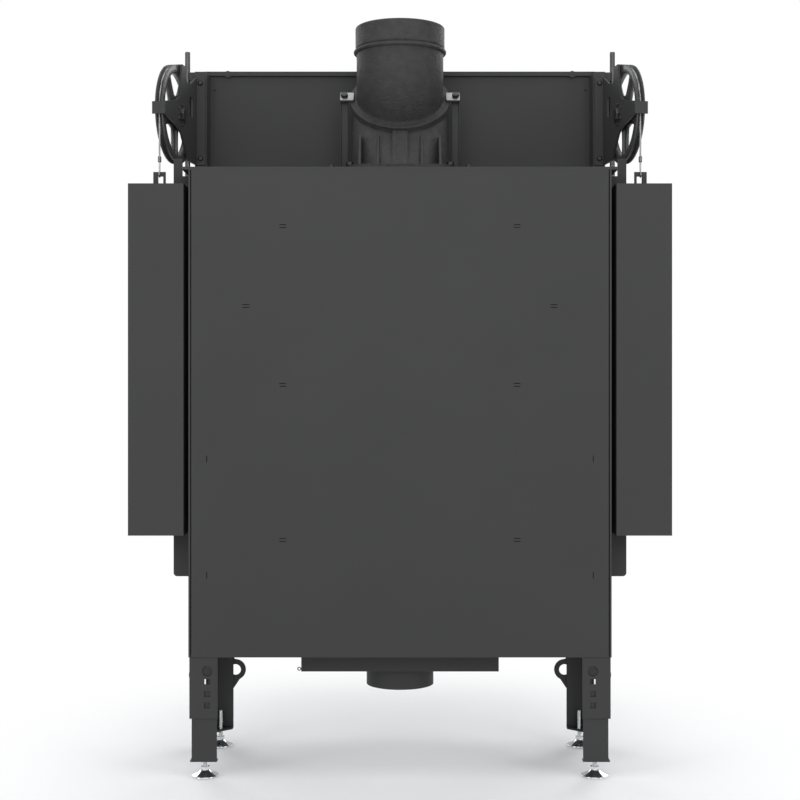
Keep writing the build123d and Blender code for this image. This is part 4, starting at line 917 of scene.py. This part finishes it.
class INSERT_OT_lining(bpy.types.Operator):
    """Fired clay slabs with upright rounded grooves in the rear and side walls."""

    bl_idname = "insert.lining"
    bl_label = "Clay lining"

    def execute(self, context):
        s = context.scene.insert_lining
        clay = finish("fireclay")
        low, high = (np.array(corner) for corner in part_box("lining_rear"))
        step = (high[0] - low[0]) / s.slabs
        half = s.joint / 2
        skin = Skin()
        for number in range(s.slabs):
            a, b = low.copy(), high.copy()
            a[0] = low[0] + number * step + (half if number else 0)
            b[0] = low[0] + (number + 1) * step - (half if number < s.slabs - 1 else 0)
            reeded(skin, a, b, 1, -1.0, s)
        rear = skin.finish("rear_lining_slabs", clay)
        stand_for(rear, "root", "fireclay", "lining_rear")

        low, high = (np.array(corner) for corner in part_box("lining_sides"))
        skin = Skin()
        for sign in (1.0, -1.0):
            a, b = low.copy(), high.copy()
            a[0], b[0] = (high[0] - s.side, high[0]) if sign > 0 else (low[0], low[0] + s.side)
            reeded(skin, a, b, 0, -sign, s)
        sides = skin.finish("side_lining_slabs", clay)
        stand_for(sides, "root", "fireclay", "lining_sides")
        return {"FINISHED"}


class INSERT_OT_seal(bpy.types.Operator):
    """Woven seal: a flat oval section carried round the leaf, with two crossing waves for the weave."""

    bl_idname = "insert.seal"
    bl_label = "Door seal"

    def execute(self, context):
        s = context.scene.insert_seal
        low, high = (np.array(corner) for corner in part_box("door_seal"))
        half = (high[1] - low[1]) / 2
        a, b = low[[0, 2]] + s.inset, high[[0, 2]] - s.inset
        corners = rounded(((a[0], a[1]), (b[0], a[1]), (b[0], b[1]), (a[0], b[1])), s.corner, 10)
        closed = np.concatenate((corners, corners[:1]))
        way = np.concatenate(([0.0], np.cumsum(np.linalg.norm(np.diff(closed, axis=0), axis=1))))
        at = np.linspace(0, way[-1], s.sections, endpoint=False)
        line = np.stack((np.interp(at, way, closed[:, 0]), np.interp(at, way, closed[:, 1])), axis=1)
        along = unit(np.roll(line, -1, 0) - np.roll(line, 1, 0))
        outward = np.stack((along[:, 1], -along[:, 0]), axis=1)
        turn = full_turn(s.around)
        braid = 2 * math.pi * at[:, None] / way[-1] * s.braids
        weave = 1 - 0.05 * (1 + np.sin(braid + 4 * turn) * np.sin(braid - 4 * turn))
        rows = np.zeros((s.sections, s.around, 3))
        out = weave * s.half_width * np.cos(turn)
        rows[:, :, 0] = line[:, :1] + out * outward[:, :1]
        rows[:, :, 2] = line[:, 1:] + out * outward[:, 1:]
        rows[:, :, 1] = (low[1] + high[1]) / 2 + weave * half * np.sin(turn)
        skin = Skin()
        skin.grid(rows, wrap_rows=True, flip=True)
        seal = skin.finish("woven_door_seal", finish("seal_rope"))
        stand_for(seal, "door_leaf", "seal_rope", "door_seal")
        return {"FINISHED"}


def loose_parts(node):
    """The boxes of the separate closed parts of a CAD node, as pairs of corners."""
    mesh = frame["nodes"][node].data
    count = len(mesh.vertices)
    place = np.zeros(count * 3)
    mesh.vertices.foreach_get("co", place)
    place = place.reshape(-1, 3)
    key = np.round(place, 6)
    same = np.unique(key, axis=0, return_inverse=True)[1].reshape(-1)
    edges = np.zeros(len(mesh.edges) * 2, int)
    mesh.edges.foreach_get("vertices", edges)
    edges = same[edges].reshape(-1, 2)
    label = np.arange(same.max() + 1)
    while True:
        lowest = np.minimum(label[edges[:, 0]], label[edges[:, 1]])
        fresh = label.copy()
        np.minimum.at(fresh, edges[:, 0], lowest)
        np.minimum.at(fresh, edges[:, 1], lowest)
        if (fresh == label).all():
            break
        label = fresh
    group = label[same]
    return [(place[group == g].min(0), place[group == g].max(0)) for g in np.unique(group)]


class INSERT_OT_screws(bpy.types.Operator):
    """Screw heads: a domed profile turned about the screw's axis, with a round recess in its middle."""

    bl_idname = "insert.screws"
    bl_label = "Casing screws"

    def execute(self, context):
        skin = Skin()
        for low, high in loose_parts("casing_screws"):
            size = high - low
            thin = int(np.argmin(size))
            middle = (low + high) / 2
            axis = np.zeros(3)
            axis[thin] = 1.0 if middle[thin] > 0 or thin == 2 else -1.0
            foot = middle - axis * size[thin] / 2
            radius, height = max(size) / 2, size[thin]
            dome = [(radius * math.cos(part), height * (0.3 + 0.7 * math.sin(part)))
                    for part in np.linspace(0, math.radians(62), 8)]
            recess = [(radius * 0.42, height * 0.9), (radius * 0.4, height * 0.45)]
            profile = [(radius * 0.97, 0.0), *dome, *recess]
            skin.grid(turned(profile, foot, axis, 36), cap_start=True, cap_end=True)
        heads = skin.finish("casing_screw_heads", finish("dark_bolts"))
        stand_for(heads, "root", "dark_bolts", "casing_screws")
        return {"FINISHED"}


class INSERT_OT_handle(bpy.types.Operator):
    """Door handle: a turned bar with rounded ends and fine grooves beside the two posts."""

    bl_idname = "insert.handle"
    bl_label = "Door handle"

    def execute(self, context):
        s = context.scene.insert_handle
        low, high = (np.array(corner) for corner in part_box("door_handle"))
        long = high[0] - low[0]
        centre_z = (low[2] + high[2]) / 2
        start = np.array((low[0], low[1] + s.radius, centre_z))
        quarter = np.linspace(0, math.pi / 2, 6)
        end = [(s.radius - s.edge + s.edge * math.sin(q), s.edge * (1 - math.cos(q))) for q in quarter]
        profile = list(end)
        for mark in (0.012, 0.0155, long - 0.0155, long - 0.012):
            profile += [(s.radius, mark - 0.0007), (s.radius - s.groove, mark), (s.radius, mark + 0.0007)]
        profile += [(radius, long - way) for radius, way in reversed(end)]
        skin = Skin()
        skin.grid(turned(profile, start, (1, 0, 0), 64), cap_start=True, cap_end=True)
        reach = high[1] - start[1]
        foot = s.post + 0.0012
        post = [(s.post, 0.0), (s.post, reach - 0.006), (foot, reach - 0.0045), (foot, reach)]
        for x in (low[0] + s.post_inset, high[0] - s.post_inset):
            skin.grid(turned(post, (x, start[1], centre_z), (0, 1, 0), 40), cap_start=True, cap_end=True)
        bar = skin.finish("door_handle_bar", finish("handle_steel"))
        stand_for(bar, "door_leaf", "handle_steel", "door_handle")
        return {"FINISHED"}


class INSERT_OT_finishes(bpy.types.Operator):
    """Finishes of every node that keeps its CAD surface"""

    bl_idname = "insert.finishes"
    bl_label = "Finishes"

    def execute(self, context):
        for part in frame["record"]["subparts"]:
            node = frame["nodes"][part["node"]]
            material = finish(part["material_slot"])
            for index in range(len(node.material_slots)):
                node.material_slots[index].material = material
        return {"FINISHED"}


class INSERT_OT_stage(bpy.types.Operator):
    """Camera at the photograph's place, soft lights, white surroundings and a pale floor that fades to
    white
    """

    bl_idname = "insert.stage"
    bl_label = "Camera and light"

    def execute(self, context):
        s = context.scene.insert_stage
        scene = context.scene
        data = bpy.data.cameras.new("camera")
        data.lens = s.lens
        data.sensor_width = 36.0
        data.shift_y = s.shift
        data.clip_end = 60.0
        camera = bpy.data.objects.new("camera", data)
        camera.location = s.place
        camera.rotation_euler = (math.pi / 2, 0.0, math.pi)
        scene.collection.objects.link(camera)
        scene.camera = camera
        scene.view_settings.view_transform = "Standard"

        world = bpy.data.worlds.new("surroundings")
        world.use_nodes = True
        scene.world = world
        tree = world.node_tree
        tree.nodes.clear()
        out = add_node(tree, "OutputWorld")
        mix = add_node(tree, "MixShader")
        white = add_node(tree, "Background", {"Color": (1.0, 1.0, 1.0, 1.0)})
        soft = add_node(tree, "Background", {"Color": (0.9, 0.92, 0.95, 1.0), "Strength": 0.5})
        path = add_node(tree, "LightPath")
        seen = add_node(tree, "Math", operation="MAXIMUM")
        link(tree, path, "Is Camera Ray", seen, 0)
        link(tree, path, "Is Transmission Ray", seen, 1)
        link(tree, seen, 0, mix, 0)
        link(tree, soft, 0, mix, 1)
        link(tree, white, 0, mix, 2)
        link(tree, mix, 0, out, "Surface")

        floor_material, tree, shader, coordinates = new_surface("pale floor")
        shader.inputs["Base Color"].default_value = (0.93, 0.93, 0.93, 1.0)
        shader.inputs["Roughness"].default_value = 0.7
        shader.inputs["Specular IOR Level"].default_value = 0.1
        glow = add_node(tree, "Emission")
        distance = add_node(tree, "VectorMath", operation="LENGTH")
        link(tree, coordinates, "Object", distance, 0)
        fade_ends = {"From Min": 0.55, "From Max": 1.1}
        fade = add_node(tree, "MapRange", fade_ends, interpolation_type="SMOOTHSTEP")
        link(tree, distance, "Value", fade, "Value")
        blend = add_node(tree, "MixShader")
        link(tree, fade, "Result", blend, "Fac")
        link(tree, shader, "BSDF", blend, 1)
        link(tree, glow, "Emission", blend, 2)
        link(tree, blend, "Shader", tree.nodes["Material Output"], "Surface")
        skin = Skin()
        radii = np.linspace(0.05, s.floor, 24)
        skin.grid(turned([(r, 0.0) for r in radii], (0, 0, -0.0004), (0, 0, 1), 64), cap_start=True)
        floor = skin.finish("floor", floor_material)

        lights = (
            ("behind camera", (0.0, 4.2, 2.6), (0.0, 0.0, 0.75), 4.0, 2.4, 66.0),
            ("camera left", (3.0, 2.4, 1.3), (0.0, 0.1, 0.9), 1.4, 2.6, 26.0),
            ("camera right", (-3.0, 2.4, 1.3), (0.0, 0.1, 0.9), 1.4, 2.6, 26.0),
            ("above", (0.0, 0.2, 3.6), (0.0, 0.0, 0.0), 3.2, 3.2, 48.0),
            ("front left", (-2.4, -3.4, 2.2), (0.0, 0.0, 0.8), 2.4, 2.4, 60.0),
            ("front right", (2.4, -3.4, 2.0), (0.0, 0.0, 0.8), 2.4, 2.4, 48.0),
        )
        for name, place, target, wide, tall, power in lights:
            lamp = bpy.data.lights.new(name, "AREA")
            lamp.shape = "RECTANGLE"
            lamp.size, lamp.size_y, lamp.energy = wide, tall, power
            shown = bpy.data.objects.new(name, lamp)
            away = np.array(place) - np.array(target)
            shown.location = place
            level = math.hypot(away[0], away[1])
            around = math.atan2(away[1], away[0]) + math.pi / 2
            shown.rotation_euler = (math.atan2(level, away[2]), 0.0, around)
            shown.visible_camera = False
            scene.collection.objects.link(shown)
        return {"FINISHED"}


class INSERT_PT_panel(bpy.types.Panel):
    """Lists the pieces"""

    bl_label = "Fireplace insert"
    bl_idname = "INSERT_PT_panel"
    bl_space_type = "VIEW_3D"
    bl_region_type = "UI"
    bl_category = "Insert"

    def draw(self, context):
        for operator in OPERATORS:
            self.layout.operator(operator.bl_idname)


SETTINGS = (
    ("insert_paint", PaintSettings),
    ("insert_elbow", ElbowSettings),
    ("insert_clamp", ClampSettings),
    ("insert_pulley", PulleySettings),
    ("insert_rope", RopeSettings),
    ("insert_foot", FootSettings),
    ("insert_lining", LiningSettings),
    ("insert_seal", SealSettings),
    ("insert_handle", HandleSettings),
    ("insert_stage", StageSettings),
)
OPERATORS = (
    INSERT_OT_stage,
    INSERT_OT_finishes,
    INSERT_OT_elbow,
    INSERT_OT_clamps,
    INSERT_OT_pulleys,
    INSERT_OT_ropes,
    INSERT_OT_feet,
    INSERT_OT_lining,
    INSERT_OT_seal,
    INSERT_OT_screws,
    INSERT_OT_handle,
)


def register():
    """Adds the settings, the operators and the panel."""
    for name, group in SETTINGS:
        bpy.utils.register_class(group)
        setattr(bpy.types.Scene, name, PointerProperty(type=group))
    for operator in OPERATORS:
        bpy.utils.register_class(operator)
    bpy.utils.register_class(INSERT_PT_panel)


def unregister():
    """Takes them away again."""
    bpy.utils.unregister_class(INSERT_PT_panel)
    for operator in reversed(OPERATORS):
        bpy.utils.unregister_class(operator)
    for name, group in reversed(SETTINGS):
        delattr(bpy.types.Scene, name)
        bpy.utils.unregister_class(group)


def main():
    """Makes every piece."""
    register()
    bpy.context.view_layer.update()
    for operator in OPERATORS:
        area, name = operator.bl_idname.split(".")
        getattr(getattr(bpy.ops, area), name)()


if __name__ == "__main__":
    main()
